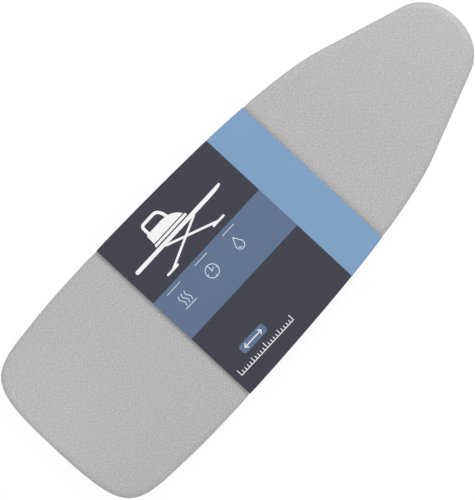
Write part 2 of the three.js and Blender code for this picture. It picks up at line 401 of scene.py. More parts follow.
@dataclass(frozen=True)
class WovenTape:
    """A narrow woven tape: ribs across or along it, with threads between them, and painted shade in the
    hollows of both.
    """

    name: str
    colour: Colour
    thread_pitch: float
    rib_pitch: float
    rib_axis: int
    rib_depth: float
    roughness: float = 0.85

    def build(self) -> bpy.types.Material:
        """Returns the finish as a material."""
        sheet = FinishSheet(self.name)
        flat = sheet.laid_flat()
        weave = sheet.plain_weave(flat, self.thread_pitch)
        ribs = sheet.ribs(flat, self.rib_pitch, self.rib_axis)
        lint = sheet.cloud(flat, 2.4 * MM, 4.0)
        # The tape is darker between its threads and in the grooves between its ribs: painted shade in
        # the hollows.
        tone = sheet.product(
            sheet.range(weave, 0.78, 1.1), sheet.range(ribs, 0.82, 1.05), sheet.range(lint, 0.86, 1.14),
        )
        sheet.set_shader(
            Base_Color=sheet.lit(self.colour, tone),
            Roughness=self.roughness,
            Sheen_Weight=0.2,
            Sheen_Roughness=0.5,
        )
        sheet.raise_surface(weave, 0.12 * MM, 0.7)
        sheet.raise_surface(ribs, self.rib_depth, 0.6)
        return sheet.material


@dataclass(frozen=True)
class Thread:
    """Sewing thread, twisted from fine strands."""

    name: str
    colour: Colour

    def build(self) -> bpy.types.Material:
        """Returns the finish as a material."""
        sheet = FinishSheet(self.name)
        place = sheet.object_place()
        strands = sheet.cloud(sheet.scaled(place, (1.0, 1.0, 0.4)), 0.25 * MM, 2.0)
        tone = sheet.range(strands, 0.8, 1.12)
        colour = sheet.lit(self.colour, tone)
        sheet.set_shader(Base_Color=colour, Roughness=0.6, Sheen_Weight=0.2)
        sheet.raise_surface(strands, 0.06 * MM, 0.6)
        return sheet.material


@dataclass(frozen=True)
class FasteningTape:
    """Nylon of a hook or a loop tape: dark, a little glossy, with lint caught in it."""

    name: str
    colour: Colour
    roughness: float

    def build(self) -> bpy.types.Material:
        """Returns the finish as a material."""
        sheet = FinishSheet(self.name)
        place = sheet.object_place()
        grain = sheet.cloud(place, 0.45 * MM, 3.0)
        lint = sheet.range(sheet.cloud(place, 3.5 * MM, 4.0), 0.0, 0.35, 0.62, 0.8)
        base = sheet.lit(self.colour, sheet.range(grain, 0.75, 1.25))
        sheet.set_shader(
            Base_Color=sheet.blend_colours(lint, base, linear_colour(96, 97, 100)),
            Roughness=self.roughness,
            Sheen_Weight=0.15,
        )
        sheet.raise_surface(grain, 0.08 * MM, 0.5)
        return sheet.material


@dataclass(frozen=True)
class PrintedCard:
    """Coated card under one flat ink with a satin varnish."""

    name: str
    colour: Colour

    def build(self) -> bpy.types.Material:
        """Returns the finish as a material."""
        sheet = FinishSheet(self.name)
        place = sheet.object_place()
        fibres = sheet.cloud(place, 0.7 * MM, 4.0)
        density = sheet.cloud(place, 60 * MM, 2.0)
        tone = sheet.product(sheet.range(fibres, 0.97, 1.03), sheet.range(density, 0.985, 1.015))
        sheet.set_shader(
            Base_Color=sheet.lit(self.colour, tone),
            Roughness=sheet.range(fibres, 0.4, 0.52, 0.3, 0.7),
            Specular_IOR_Level=0.2,
        )
        sheet.raise_surface(fibres, 0.02 * MM, 0.3)
        return sheet.material


@dataclass(frozen=True)
class RawBoard:
    """The unprinted inside and the cut edges of the card."""

    colour: Colour = (205, 199, 187)

    def build(self) -> bpy.types.Material:
        """Returns the finish as a material."""
        sheet = FinishSheet("raw_board")
        place = sheet.object_place()
        fibres = sheet.cloud(sheet.scaled(place, (0.4, 1.0, 1.0)), 1.1 * MM, 5.0)
        tone = sheet.range(fibres, 0.88, 1.06, 0.3, 0.7)
        sheet.set_shader(Base_Color=sheet.lit(self.colour, tone), Roughness=0.9)
        sheet.raise_surface(fibres, 0.04 * MM, 0.6)
        return sheet.material


@dataclass(frozen=True)
class SetGlue:
    """Hot-melt glue that has set to a waxy strip."""

    colour: Colour = (232, 224, 196)

    def build(self) -> bpy.types.Material:
        """Returns the finish as a material."""
        sheet = FinishSheet("set_glue")
        runs = sheet.cloud(sheet.object_place(), 5 * MM, 3.0)
        sheet.set_shader(
            Base_Color=sheet.lit(self.colour, sheet.range(runs, 0.94, 1.04)),
            Roughness=sheet.range(runs, 0.25, 0.45),
            Subsurface_Weight=0.1,
        )
        sheet.raise_surface(runs, 0.15 * MM, 0.6)
        return sheet.material


@dataclass(frozen=True)
class CurvedRun:
    """A curved run of the half outline, as shares of the cover's length and half width."""

    first: Place
    second: Place
    end: Place


@dataclass(frozen=True)
class Station:
    """A place on the whole outline, which goes anticlockwise from the nose's tip."""

    point: Vector
    inward: Vector
    along: float
    bend: float

    def inset(self, distance: float) -> Vector:
        """Returns the point moved in by a distance."""
        return self.point + self.inward * distance


class Outline:
    """The cover's plan outline, the same on both sides, in the size of the CAD's cloth."""

    RUNS = (
        CurvedRun((0.0, 0.8251), (0.0122, 0.9323), (0.1048, 0.9686)),
        CurvedRun((0.179, 0.9977), (0.1768, 1.0), (0.3048, 1.0)),
        CurvedRun((0.3376, 1.0), (0.5416, 0.9758), (0.6432, 0.9058)),
        CurvedRun((0.6638, 0.8916), (0.75, 0.8375), (0.7976, 0.7444)),
        CurvedRun((0.8488, 0.6442), (0.9, 0.5441), (0.9512, 0.4439)),
        CurvedRun((0.9708, 0.4055), (1.0, 0.2735), (1.0, 0.0)),
    )
    CURVE_POINTS = 48

    def __init__(self, low: Vector, high: Vector) -> None:
        """Lays the half outline out over the box of the cloth."""
        self.tail_x = low.x
        self.length = high.x - low.x
        self.half_width = high.y
        self.half = self._half_points()

    def _place(self, shares: Place) -> Vector:
        """Returns the point at a share of the length and of the half width."""
        return Vector((self.tail_x + shares[0] * self.length, shares[1] * self.half_width))

    def _half_points(self) -> list[Vector]:
        """Returns the half outline as close points from the tail to the nose."""
        points = [self._place((0.0, 0.0))]
        for run in self.RUNS:
            handles = [self._place(share) for share in (run.first, run.second, run.end)]
            curve = geometry.interpolate_bezier(points[-1], *handles, self.CURVE_POINTS)
            points.extend(Vector(point[:2]) for point in curve[1:])
        return points

    def stations(self, count: int) -> list[Station]:
        """Spreads stations evenly along the whole outline.

        Args:
            count: How many stations there are, an even number.

        Returns:
            The stations, anticlockwise seen from above, from the nose's tip.
        """
        path = self.half[::-1]
        runs = [0.0]
        for start, end in zip(path, path[1:]):
            runs.append(runs[-1] + (end - start).length)
        left, piece = [], 0
        for number in range(count // 2 + 1):
            wanted = runs[-1] * number / (count // 2)
            while piece < len(path) - 2 and runs[piece + 1] < wanted:
                piece += 1
            share = (wanted - runs[piece]) / (runs[piece + 1] - runs[piece])
            left.append(path[piece].lerp(path[piece + 1], min(share, 1.0)))
        loop = left + [Vector((point.x, -point.y)) for point in left[-2:0:-1]]
        step = 2 * runs[-1] / count
        made = []
        for number, point in enumerate(loop):
            before, after = loop[number - 1], loop[(number + 1) % count]
            tangent = (after - before).normalized()
            bend = abs((point - before).angle_signed(after - point)) / step
            made.append(Station(point, Vector((-tangent.y, tangent.x)), number * step, bend))
        return made

    def plan_area(self) -> float:
        """Returns the area inside the whole outline."""
        steps = zip(self.half, self.half[1:])
        return sum((end.x - start.x) * (start.y + end.y) for start, end in steps)

    def half_width_at(self, x: float) -> float:
        """Returns half the cover's width at a place along it."""
        for start, end in zip(self.half, self.half[1:]):
            if start.x <= x <= end.x and end.x > start.x:
                return lerp(start.y, end.y, (x - start.x) / (end.x - start.x))
        return 0.0


class Skin:
    """A mesh that grows from a circle of vertices, ring by ring, with its flat map on its vertices."""

    def __init__(self, ring_size: int, mesh: bmesh.types.BMesh | None = None) -> None:
        """Starts the circle that becomes the first ring, in a new mesh or in one with other skins."""
        self.mesh = mesh or bmesh.new()
        layers = self.mesh.verts.layers
        for kind, name in ((layers.int, "number"), (layers.float_vector, "flat")):
            if name not in kind:
                kind.new(name)
        self.number, self.flat = layers.int["number"], layers.float_vector["flat"]
        self.ring = bmesh.ops.create_circle(self.mesh, segments=ring_size, radius=1.0)["verts"]
        for number, vertex in enumerate(self.ring):
            vertex[self.number] = number
        self.edges = list(dict.fromkeys(edge for vertex in self.ring for edge in vertex.link_edges))
        self.first: list[bmesh.types.BMVert] = []

    def add(self, points: Sequence[Vector], flat: Sequence[Place] | None = None) -> None:
        """Adds a ring of points.

        Args:
            points: Where each vertex of the ring goes.
            flat: The place of each vertex on the piece laid flat.
        """
        if self.first:
            grown = bmesh.ops.extrude_edge_only(self.mesh, edges=self.edges)["geom"]
            fresh = {part for part in grown if isinstance(part, bmesh.types.BMVert)}
            edges = (part for part in grown if isinstance(part, bmesh.types.BMEdge))
            self.ring = sorted(fresh, key=lambda vertex: vertex[self.number])
            self.edges = [edge for edge in edges if all(vertex in fresh for vertex in edge.verts)]
        else:
            self.first = self.ring
        for number, vertex in enumerate(self.ring):
            vertex.co = points[number]
            if flat:
                vertex[self.flat] = (*flat[number], 0.0)

    def cap(self) -> None:
        """Closes the first and the last ring with a face each."""
        for ring in (self.first, self.ring):
            bmesh.ops.contextual_create(self.mesh, geom=list(ring))

    def join_ends(self, tolerance: float = 1e-6) -> None:
        """Merges the last ring with the first, on which it lies."""
        bmesh.ops.remove_doubles(self.mesh, verts=[*self.first, *self.ring], dist=tolerance)

    def close(self, tolerance: float = 1e-6) -> None:
        """Merges all that lies on each other, as along a spine."""
        bmesh.ops.remove_doubles(self.mesh, verts=self.mesh.verts, dist=tolerance)

    def finish(self, name: str, materials: Iterable[bpy.types.Material], around: float = 0.0,
               crease: float = CREASE) -> bpy.types.Object:
        """Makes the object.

        Args:
            name: The piece's name.
            materials: Its materials, in the order of its material numbers.
            around: How long the piece laid flat is round its rings, where its map joins up.
            crease: The angle past which an edge is sharp.

        Returns:
            The object, linked to the scene.
        """
        bmesh.ops.recalc_face_normals(self.mesh, faces=self.mesh.faces)
        laid = self.mesh.loops.layers.uv.new(FLAT_MAP)
        for face in self.mesh.faces:
            places = [loop.vert[self.flat] for loop in face.loops]
            farthest = max(place.x for place in places)
            for loop, place in zip(face.loops, places):
                wraps = around and farthest - place.x > around / 2
                loop[laid].uv = (place.x + (around if wraps else 0.0), place.y)
        return make_object(self.mesh, name, materials, crease)


def make_object(mesh: bmesh.types.BMesh, name: str, materials: Iterable[bpy.types.Material],
                crease: float = CREASE) -> bpy.types.Object:
    """Turns a bmesh into an object at the origin, shaded smooth between its creases.

    Args:
        mesh: The finished bmesh, which is freed.
        name: The piece's name.
        materials: Its materials, in the order of its material numbers.
        crease: The angle past which an edge is sharp.

    Returns:
        The object, linked to the scene.
    """
    data = bpy.data.meshes.new(name)
    for face in mesh.faces:
        face.smooth = True
    mesh.to_mesh(data)
    mesh.free()
    data.set_sharp_from_angle(angle=crease)
    for material in materials:
        data.materials.append(material)
    made = bpy.data.objects.new(name, data)
    bpy.context.scene.collection.objects.link(made)
    return made


def add_solidify(piece: bpy.types.Object, thickness: float, material_step: int = 0) -> None:
    """Gives an open sheet its thickness, on the side that its faces turn away from.

    Args:
        piece: The sheet.
        thickness: How thick it is.
        material_step: How many material slots on the inside and the rim take theirs.
    """
    solid = piece.modifiers.new("thickness", "SOLIDIFY")
    solid.thickness = thickness
    solid.offset = -1.0
    solid.use_even_offset = True
    solid.material_offset = material_step
    solid.material_offset_rim = material_step
    facing = piece.modifiers.new("facing", "WEIGHTED_NORMAL")
    facing.keep_sharp = True


def dress(piece: bpy.types.Object, body: str | None, slot: str, *nodes: str) -> bpy.types.Object:
    """Attaches a piece to what it rides on, hides the CAD nodes that it stands for and logs it.

    Args:
        piece: The piece.
        body: The CAD body that it rides on, or None where it lies between two bodies and is attached to
            neither.
        slot: The record's material slot, which is not used.
        nodes: The CAD nodes that it replaces.

    Returns:
        The piece.
    """
    if body:
        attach(piece, body)
    if nodes:
        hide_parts(*nodes)
    LOG.info("%s: %d faces, rides on %s", piece.name, len(piece.data.polygons), body or "two bodies")
    return piece


class Stamp:
    """A small shape that is set many times into one mesh."""

    def __init__(self, shape: bmesh.types.BMesh) -> None:
        """Keeps the shape, whose bmesh is freed."""
        self.data = bpy.data.meshes.new("stamp")
        shape.to_mesh(self.data)
        shape.free()
        self.points = [vertex.co.copy() for vertex in self.data.vertices]

    def press(self, mesh: bmesh.types.BMesh, place: Matrix) -> None:
        """Sets the shape into a mesh at a place."""
        for vertex, point in zip(self.data.vertices, self.points):
            vertex.co = place @ point
        mesh.from_mesh(self.data)


@dataclass(frozen=True)
class Stitching:
    """A row of stitches, each a small rounded length of thread."""

    pitch: float
    length: float
    thickness: float
    material: int = 0  # the thread's number among the mesh's materials

    def _stamp(self) -> Stamp:
        """Returns one stitch of unit length and thickness, rounded at both ends."""
        shape = bmesh.new()
        bmesh.ops.create_uvsphere(shape, u_segments=6, v_segments=4, radius=0.5)
        for face in shape.faces:
            face.material_index = self.material
        return Stamp(shape)

    def sew(self, mesh: bmesh.types.BMesh, path: Sequence[Vector], out: Vector) -> None:
        """Lays the stitches along a path.

        Args:
            mesh: The bmesh that the stitches go into.
            path: Close points on the path of the seam.
            out: The direction out of the cloth, which the thread stands proud in.
        """
        stitch = self._stamp()
        shape = Matrix.Diagonal((self.length, self.thickness, self.thickness, 1.0))
        left = self.pitch / 2
        for start, end in zip(path, path[1:]):
            run = (end - start).length
            while left <= run:
                forward = (end - start).normalized()
                side = out.cross(forward).normalized()
                turn = Matrix((forward, side, out)).transposed().to_4x4()
                stitch.press(mesh, Matrix.Translation(start.lerp(end, left / run)) @ turn @ shape)
                left += self.pitch
            left -= run


class Gathers:
    """The folds that the elastic draws into the skirt: deep on the tight bends, calm at the straps."""

    SEED = 51
    WIDE_PITCH = 38 * MM
    CLOSE_PITCH = 15 * MM
    LOW_HEIGHT = 0.7 * MM
    FULL_HEIGHT = 2.7 * MM
    FULL_BEND = 8.0  # per metre, at which the folds are as close and deep as they get
    CALM = (13 * MM, 34 * MM)  # from a strap, where the folds start and are full
    WIDTH_SHARE = 0.27
    PITCH_CHANCE = (0.75, 1.3)
    HEIGHT_CHANCE = (0.6, 1.1)

    def __init__(self, stations: Sequence[Station], calm_places: Sequence[float]) -> None:
        """Draws the folds and works out their height at each station."""
        chance = random.Random(self.SEED)
        step = stations[1].along
        around = step * len(stations)
        tightness = [min(station.bend / self.FULL_BEND, 1.0) for station in stations]
        reach = max(1, round(self.WIDE_PITCH / step))
        eased = [
            sum(tightness[(number + near) % len(stations)] for near in range(-reach, reach + 1))
            / (2 * reach + 1)
            for number in range(len(stations))
        ]
        self.heights = [0.0] * len(stations)
        place = 0.0
        while place < around - self.CLOSE_PITCH:
            tight = eased[int(place / step) % len(stations)]
            pitch = lerp(self.WIDE_PITCH, self.CLOSE_PITCH, tight) * chance.uniform(*self.PITCH_CHANCE)
            height = lerp(self.LOW_HEIGHT, self.FULL_HEIGHT, tight) * chance.uniform(*self.HEIGHT_CHANCE)
            width = pitch * self.WIDTH_SHARE
            near = int(3 * width / step) + 1
            middle = int(place / step)
            for number in range(middle - near, middle + near + 1):
                away = (number * step - place) / width
                self.heights[number % len(stations)] += height * math.exp(-away * away)
            place += pitch
        for number, station in enumerate(stations):
            for x in calm_places:
                self.heights[number] *= smooth_share(abs(station.point.x - x), *self.CALM)


@dataclass
class CoverProfile:
    """Heights and insets of the cover's section, from its CAD boxes and the folds' own sizes."""

    outline: Outline
    top_z: float
    under_z: float
    skirt_z: float
    skirt_reach: float
    cloth: float = 0.8 * MM
    crown_width: float = 14 * MM
    crown_drop: float = 8 * MM
    bottom_radius: float = 5 * MM
    flat_start: float = 14 * MM
    bend_lift: float = 0.3  # the share of a fold's height that the foot of the wall has
    flat_lift: float = 0.8  # and the one that the skirt has where it is flat
    station_count: int = 1000
    crown_steps: int = 11
    wall_steps: int = 5
    bend_steps: int = 6
    rise_steps: int = 4
    skirt_steps: int = 7
    spine_shares: tuple[float, ...] = (0.0, 0.25, 0.5, 0.72, 0.88, 0.97)
    spine_pull: float = 0.24

    def edge_rings(self) -> list[SectionPoint]:
        """Gives the section of the cloth's outer face.

        Returns:
            For each ring from the flat top to the cut edge, its inset, its height, and the share of a
            fold's height that it has.
        """
        rings = []
        for step in range(self.crown_steps + 1):
            angle = QUARTER_TURN * step / self.crown_steps
            rings.append((
                self.crown_width * (1 - math.sin(angle)),
                self.top_z - self.crown_drop * (1 - math.cos(angle)),
                0.0,
            ))
        wall_top = self.wall_top()
        wall_bottom = self.under_z + self.bottom_radius
        for step in range(1, self.wall_steps):
            rings.append((0.0, lerp(wall_top, wall_bottom, step / self.wall_steps), 0.0))
        for step in range(self.bend_steps + 1):
            share = step / self.bend_steps
            rings.append((
                self.bottom_radius * (1 - math.cos(QUARTER_TURN * share)),
                wall_bottom - self.bottom_radius * math.sin(QUARTER_TURN * share),
                self.bend_lift * share,
            ))
        for step in range(1, self.rise_steps + 1):
            share = step / self.rise_steps
            rings.append((
                lerp(self.bottom_radius, self.flat_start, share),
                lerp(self.under_z, self.skirt_z, smooth_share(share, 0.0, 1.0)),
                lerp(self.bend_lift, self.flat_lift, share),
            ))
        for step in range(1, self.skirt_steps + 1):
            share = step / self.skirt_steps
            inset = lerp(self.flat_start, self.skirt_reach, share)
            rings.append((inset, self.skirt_z, lerp(self.flat_lift, 1.0, share)))
        return rings

    def wall_top(self) -> float:
        """Returns the height at which the crown of the edge goes over into the upright wall."""
        return self.top_z - self.crown_drop

    def developed_reach(self) -> float:
        """Returns how far the cloth laid flat goes past the flat of the top."""
        return runs_along(self.edge_rings())[-1]


class PaddedCover:
    """The silver cloth with its layers, its drawn-in hem and its seam."""

    LAYER_GAP = 0.3 * MM
    SURFACE_EASE = 0.25 * MM  # how far the flat of the top rises and sinks over the pads
    EASE_SIZE = 0.16
    WALL_TUCK = 0.35  # of a fold's height, which the wall goes in at its foot
    PAD_ROUNDING = 0.35 * MM
    PAD_RINGS = 5
    SLEEVE_PRESS = 1.2 * MM  # how much lower the padded top lies inside the sleeve
    PRESS_RUN = 14 * MM
    SQUEEZE_RUN = 30 * MM
    TAPE = 0.5 * MM
    OVERLAP = 5 * MM  # of the binding's legs and the skirt's cut edge
    ELASTIC_WIDTH = 6 * MM
    BRAID_COUNT = 9
    BRAID_DEPTH = 0.06 * MM
    LEG_SHARES = (0.04, 0.25, 0.5, 0.75, 1.0)
    SEAM_INSET = 1.8 * MM
    SEAM = Stitching(3.1 * MM, 2.6 * MM, 0.42 * MM)

    def __init__(self, calm_places: Sequence[float]) -> None:
        """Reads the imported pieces' boxes."""
        self.sleeve_low, self.sleeve_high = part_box("sleeve_card")
        cloth_low, cloth_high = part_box("cover_cloth")
        binding_low, binding_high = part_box("hem_binding")
        self.outline = Outline(cloth_low, cloth_high)
        self.binding_z = binding_low.z
        self.binding_top_z = binding_high.z
        self.binding_start = cloth_high.y - binding_high.y
        self.profile = CoverProfile(
            outline=self.outline,
            top_z=cloth_high.z,
            under_z=cloth_low.z,
            skirt_z=self.binding_z + self.TAPE + self.LAYER_GAP,
            skirt_reach=self.binding_start + self.OVERLAP,
        )
        self.stations = self.outline.stations(self.profile.station_count)
        self.around = self.stations[1].along * len(self.stations)
        self.gathers = Gathers(self.stations, calm_places)

    def _inside_sleeve(self, x: float, run: float) -> float:
        """Returns 1 inside the sleeve, falling to 0 over a run past each of its ends."""
        rising = smooth_share(x, self.sleeve_low.x - run, self.sleeve_low.x)
        return rising * (1.0 - smooth_share(x, self.sleeve_high.x, self.sleeve_high.x + run))

    def _surface_ease(self, point: Vector) -> float:
        """Returns the rise of the padded top at a point of the plan."""
        rise = noise.noise(Vector((point.x / self.EASE_SIZE, point.y / self.EASE_SIZE, 0.5)))
        press = self._inside_sleeve(point.x, self.PRESS_RUN)
        return self.SURFACE_EASE * rise - self.SLEEVE_PRESS * press

    def _squeeze(self, station: Station, inset: float) -> float:
        """Returns how far in the sleeve holds the side of the cover, at an inset of the outline."""
        at_edge = 1.0 - smooth_share(inset, 0.0, self.profile.flat_start)
        return SLEEVE_SQUEEZE * at_edge * self._inside_sleeve(station.point.x, self.SQUEEZE_RUN)

    def _spine_point(self, station: Station, inset: float, share: float) -> Vector:
        """Returns the point at a share of the way from the spine out to an inset of the outline."""
        edge = station.inset(inset)
        pull = 1.0 - (1.0 - share) * self.profile.spine_pull
        return Vector((edge.x * pull, edge.y * share))

    def _fill(self, skin: Skin, stations: Sequence[Station], inset: float, z: float,
              shares: Sequence[float]) -> None:
        """Adds rings between the spine and an inset of the outline, at one height.

        Args:
            skin: The mesh to add to.
            stations: The places on the outline that have a vertex.
            inset: The inset that a share of 1 reaches.
            z: The height, from which the surface rises and sinks a little.
            shares: Each ring's share of the way out, in the order in which they are added.
        """
        for share in shares:
            points = [
                self._spine_point(station, inset + self._squeeze(station, inset), share)
                for station in stations
            ]
            skin.add(
                [Vector((p.x, p.y, z + self._surface_ease(p))) for p in points],
                [(p.x, p.y) for p in points],
            )

    def build_cloth(self) -> bpy.types.Object:
        """Builds the cloth over the top, down the wall and in under the board as the skirt."""
        profile = self.profile
        skin = Skin(profile.station_count)
        rings = profile.edge_rings()
        self._fill(skin, self.stations, rings[0][0], profile.top_z, profile.spine_shares)
        wall_top = profile.wall_top()
        for (inset, z, lift), travelled in zip(rings, runs_along(rings)):
            tuck = self.WALL_TUCK * smooth_share(wall_top - z, 0.0, wall_top - profile.under_z)
            tuck *= 1.0 - smooth_share(inset, 0.0, profile.flat_start)
            points, flat = [], []
            for station, height in zip(self.stations, self.gathers.heights):
                at = station.inset(inset + tuck * height + self._squeeze(station, inset))
                ease = self._surface_ease(at) * smooth_share(z, wall_top, profile.top_z)
                points.append(Vector((at.x, at.y, z + lift * height + ease)))
                laid = station.inset(rings[0][0] - travelled)
                flat.append((laid.x, laid.y))
            skin.add(points, flat)
        skin.close()
        cloth = skin.finish("silver_cover", [SilverCloth().build()], crease=math.pi)
        if cloth.data.polygons[0].normal.z < 0:  # an open sheet's faces may be found turned inwards
            cloth.data.flip_normals()
        add_solidify(cloth, profile.cloth)
        return dress(cloth, "cover", "silver_cloth", "cover_cloth")

    def build_layer(self, name: str, node: str, slot: str,
                    finish: NeedledFelt | OpenCellFoam) -> bpy.types.Object:
        """Builds one of the two layers of padding.

        Args:
            name: The piece's name.
            node: The CAD node whose height and thickness it has.
            slot: The record's material slot.
            finish: Its finish.

        Returns:
            The layer.
        """
        low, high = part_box(node)
        profile = self.profile
        centre_z = profile.wall_top()
        inside = profile.cloth + self.LAYER_GAP
        reach, rise = profile.crown_width - inside, profile.crown_drop - inside
        skin = Skin(profile.station_count // 2)
        stations = self.stations[::2]
        edge = []
        for step in range(self.PAD_RINGS):
            share = step / (self.PAD_RINGS - 1)
            z = lerp(low.z, high.z, share)
            above = min(max(z - centre_z, 0.0) / rise, 1.0)
            rounding = self.PAD_ROUNDING * (1 - math.sin(math.pi * share))
            edge.append((profile.crown_width - reach * math.sqrt(1 - above * above) + rounding, z))
        self._fill(skin, stations, *edge[0], profile.spine_shares)
        for inset, z in edge:
            self._fill(skin, stations, inset, z, [1.0])
        self._fill(skin, stations, *edge[-1], profile.spine_shares[::-1])
        skin.close()
        layer = skin.finish(name, [finish.build()])
        dress(layer, "cover", slot, node)
        return layer

    def _gathered_loop(self, inset: float, z: float) -> list[Vector]:
        """Returns the points of a loop round the skirt, raised where the folds are."""
        loop = zip(self.stations, self.gathers.heights)
        return [Vector((*station.inset(inset), z + height)) for station, height in loop]

    def _hem_loop(self, name: str, section: Sequence[Place], finish: WovenTape) -> bpy.types.Object:
        """Builds a tape that runs round the whole hem.

        Args:
            name: The piece's name.
            section: The closed section, as insets and heights.
            finish: Its finish.

        Returns:
            The piece, still riding on nothing.
        """
        skin = Skin(len(self.stations))
        section = [*section, section[0]]
        for (inset, z), travelled in zip(section, runs_along(section)):
            flat = [(station.along, travelled) for station in self.stations]
            skin.add(self._gathered_loop(inset, z), flat)
        skin.join_ends()
        return skin.finish(name, [finish.build()], around=self.around)

    def build_binding(self) -> bpy.types.Object:
        """Builds the tape folded over the skirt's cut edge."""
        bottom, top = self.binding_z, self.binding_top_z
        outer = (top - bottom) / 2
        middle_z = (top + bottom) / 2
        start = self.binding_start
        fold = self.profile.skirt_reach + self.LAYER_GAP + self.ELASTIC_WIDTH
        legs = [lerp(start, fold, share) for share in self.LEG_SHARES]
        softened = self.TAPE * 0.3
        section = [(start, bottom + softened)]
        section += [(inset, bottom) for inset in legs]
        section += self._arc(fold, middle_z, outer, -1, 1, 8)
        section += [(inset, top) for inset in reversed(legs)]
        section += [(start, top - softened), (start, top - self.TAPE)]
        section += [(inset, top - self.TAPE) for inset in legs[1:]]
        section += self._arc(fold, middle_z, outer - self.TAPE, 1, -1, 6)
        section += [(inset, bottom + self.TAPE) for inset in reversed(legs[1:])]
        section += [(start, bottom + self.TAPE)]
        finish = WovenTape("binding_weave", (146, 149, 152), 0.55 * MM, 1.6 * MM, 0, 0.08 * MM)
        binding = self._hem_loop("hem_binding_tape", section, finish)
        return dress(binding, "cover", "binding", "hem_binding")

    @staticmethod
    def _arc(inset: float, z: float, radius: float, start: float, end: float, steps: int) -> list[Place]:
        """Returns the points inside an arc of a section, with angles in quarter turns."""
        points = []
        for step in range(1, steps):
            angle = QUARTER_TURN * lerp(start, end, step / steps)
            points.append((inset + radius * math.cos(angle), z + radius * math.sin(angle)))
        return points

    def build_elastic(self) -> bpy.types.Object:
        """Builds the flat elastic in the binding's fold."""
        low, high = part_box("hem_elastic")
        start = self.profile.skirt_reach + self.LAYER_GAP
        end = start + self.ELASTIC_WIDTH
        under = []
        for step in range(self.BRAID_COUNT + 1):
            inset = lerp(start, end, step / self.BRAID_COUNT)
            under.append((inset, low.z + (self.BRAID_DEPTH if step % 2 else 0.0)))
        over = [(inset, high.z - (z - low.z)) for inset, z in reversed(under)]
        finish = WovenTape("elastic_braid", (236, 236, 232), 0.5 * MM, 1.0 * MM, 1, 0.1 * MM)
        elastic = self._hem_loop("hem_elastic_band", under + over, finish)
        return dress(elastic, "cover", "elastic", "hem_elastic")

    def build_seam(self) -> bpy.types.Object:
        """Builds the stitches that hold the binding, on both of its faces."""
        mesh = bmesh.new()
        for z, out in ((self.binding_z, -UP), (self.binding_top_z, UP)):
            path = self._gathered_loop(self.binding_start + self.SEAM_INSET, z)
            self.SEAM.sew(mesh, [*path, path[0]], out)
        seam = make_object(mesh, "hem_seam", [Thread("hem_thread", (196, 198, 200)).build()], math.pi)
        return dress(seam, "cover", "binding")

    def build(self) -> None:
        """Builds every piece of the padded cover and works out the area of its cloth laid flat."""
        foam = self.build_layer("foam_layer", "foam_pad", "foam", OpenCellFoam())
        self.build_layer("felt_layer", "felt_pad", "felt", NeedledFelt())
        cloth = self.build_cloth()
        hem = [self.build_binding(), self.build_elastic(), self.build_seam()]
        reach = self.profile.developed_reach() - self.profile.crown_width
        area = self.outline.plan_area() + self.around * reach + math.pi * reach * reach


@dataclass(frozen=True)
class TapeKind:
    """What sets hook tape and loop tape apart: the nylon, and the small threads on its face."""

    name: str
    colour: Colour
    roughness: float
    rows: int
    radius: float  # of each thread's bend
    sweep: float  # how far each thread bends, in radians
    jitter: float  # how far each thread may stand from its place in the row
    up: float  # 1 where the face looks up, or -1 where it looks down


HOOKS = TapeKind("hook", (30, 31, 33), 0.55, 12, 0.17 * MM, 2.6, 0.0, 1.0)
LOOPS = TapeKind("loop", (36, 37, 39), 0.85, 14, 0.2 * MM, 3.0, 0.4 * MM, -1.0)


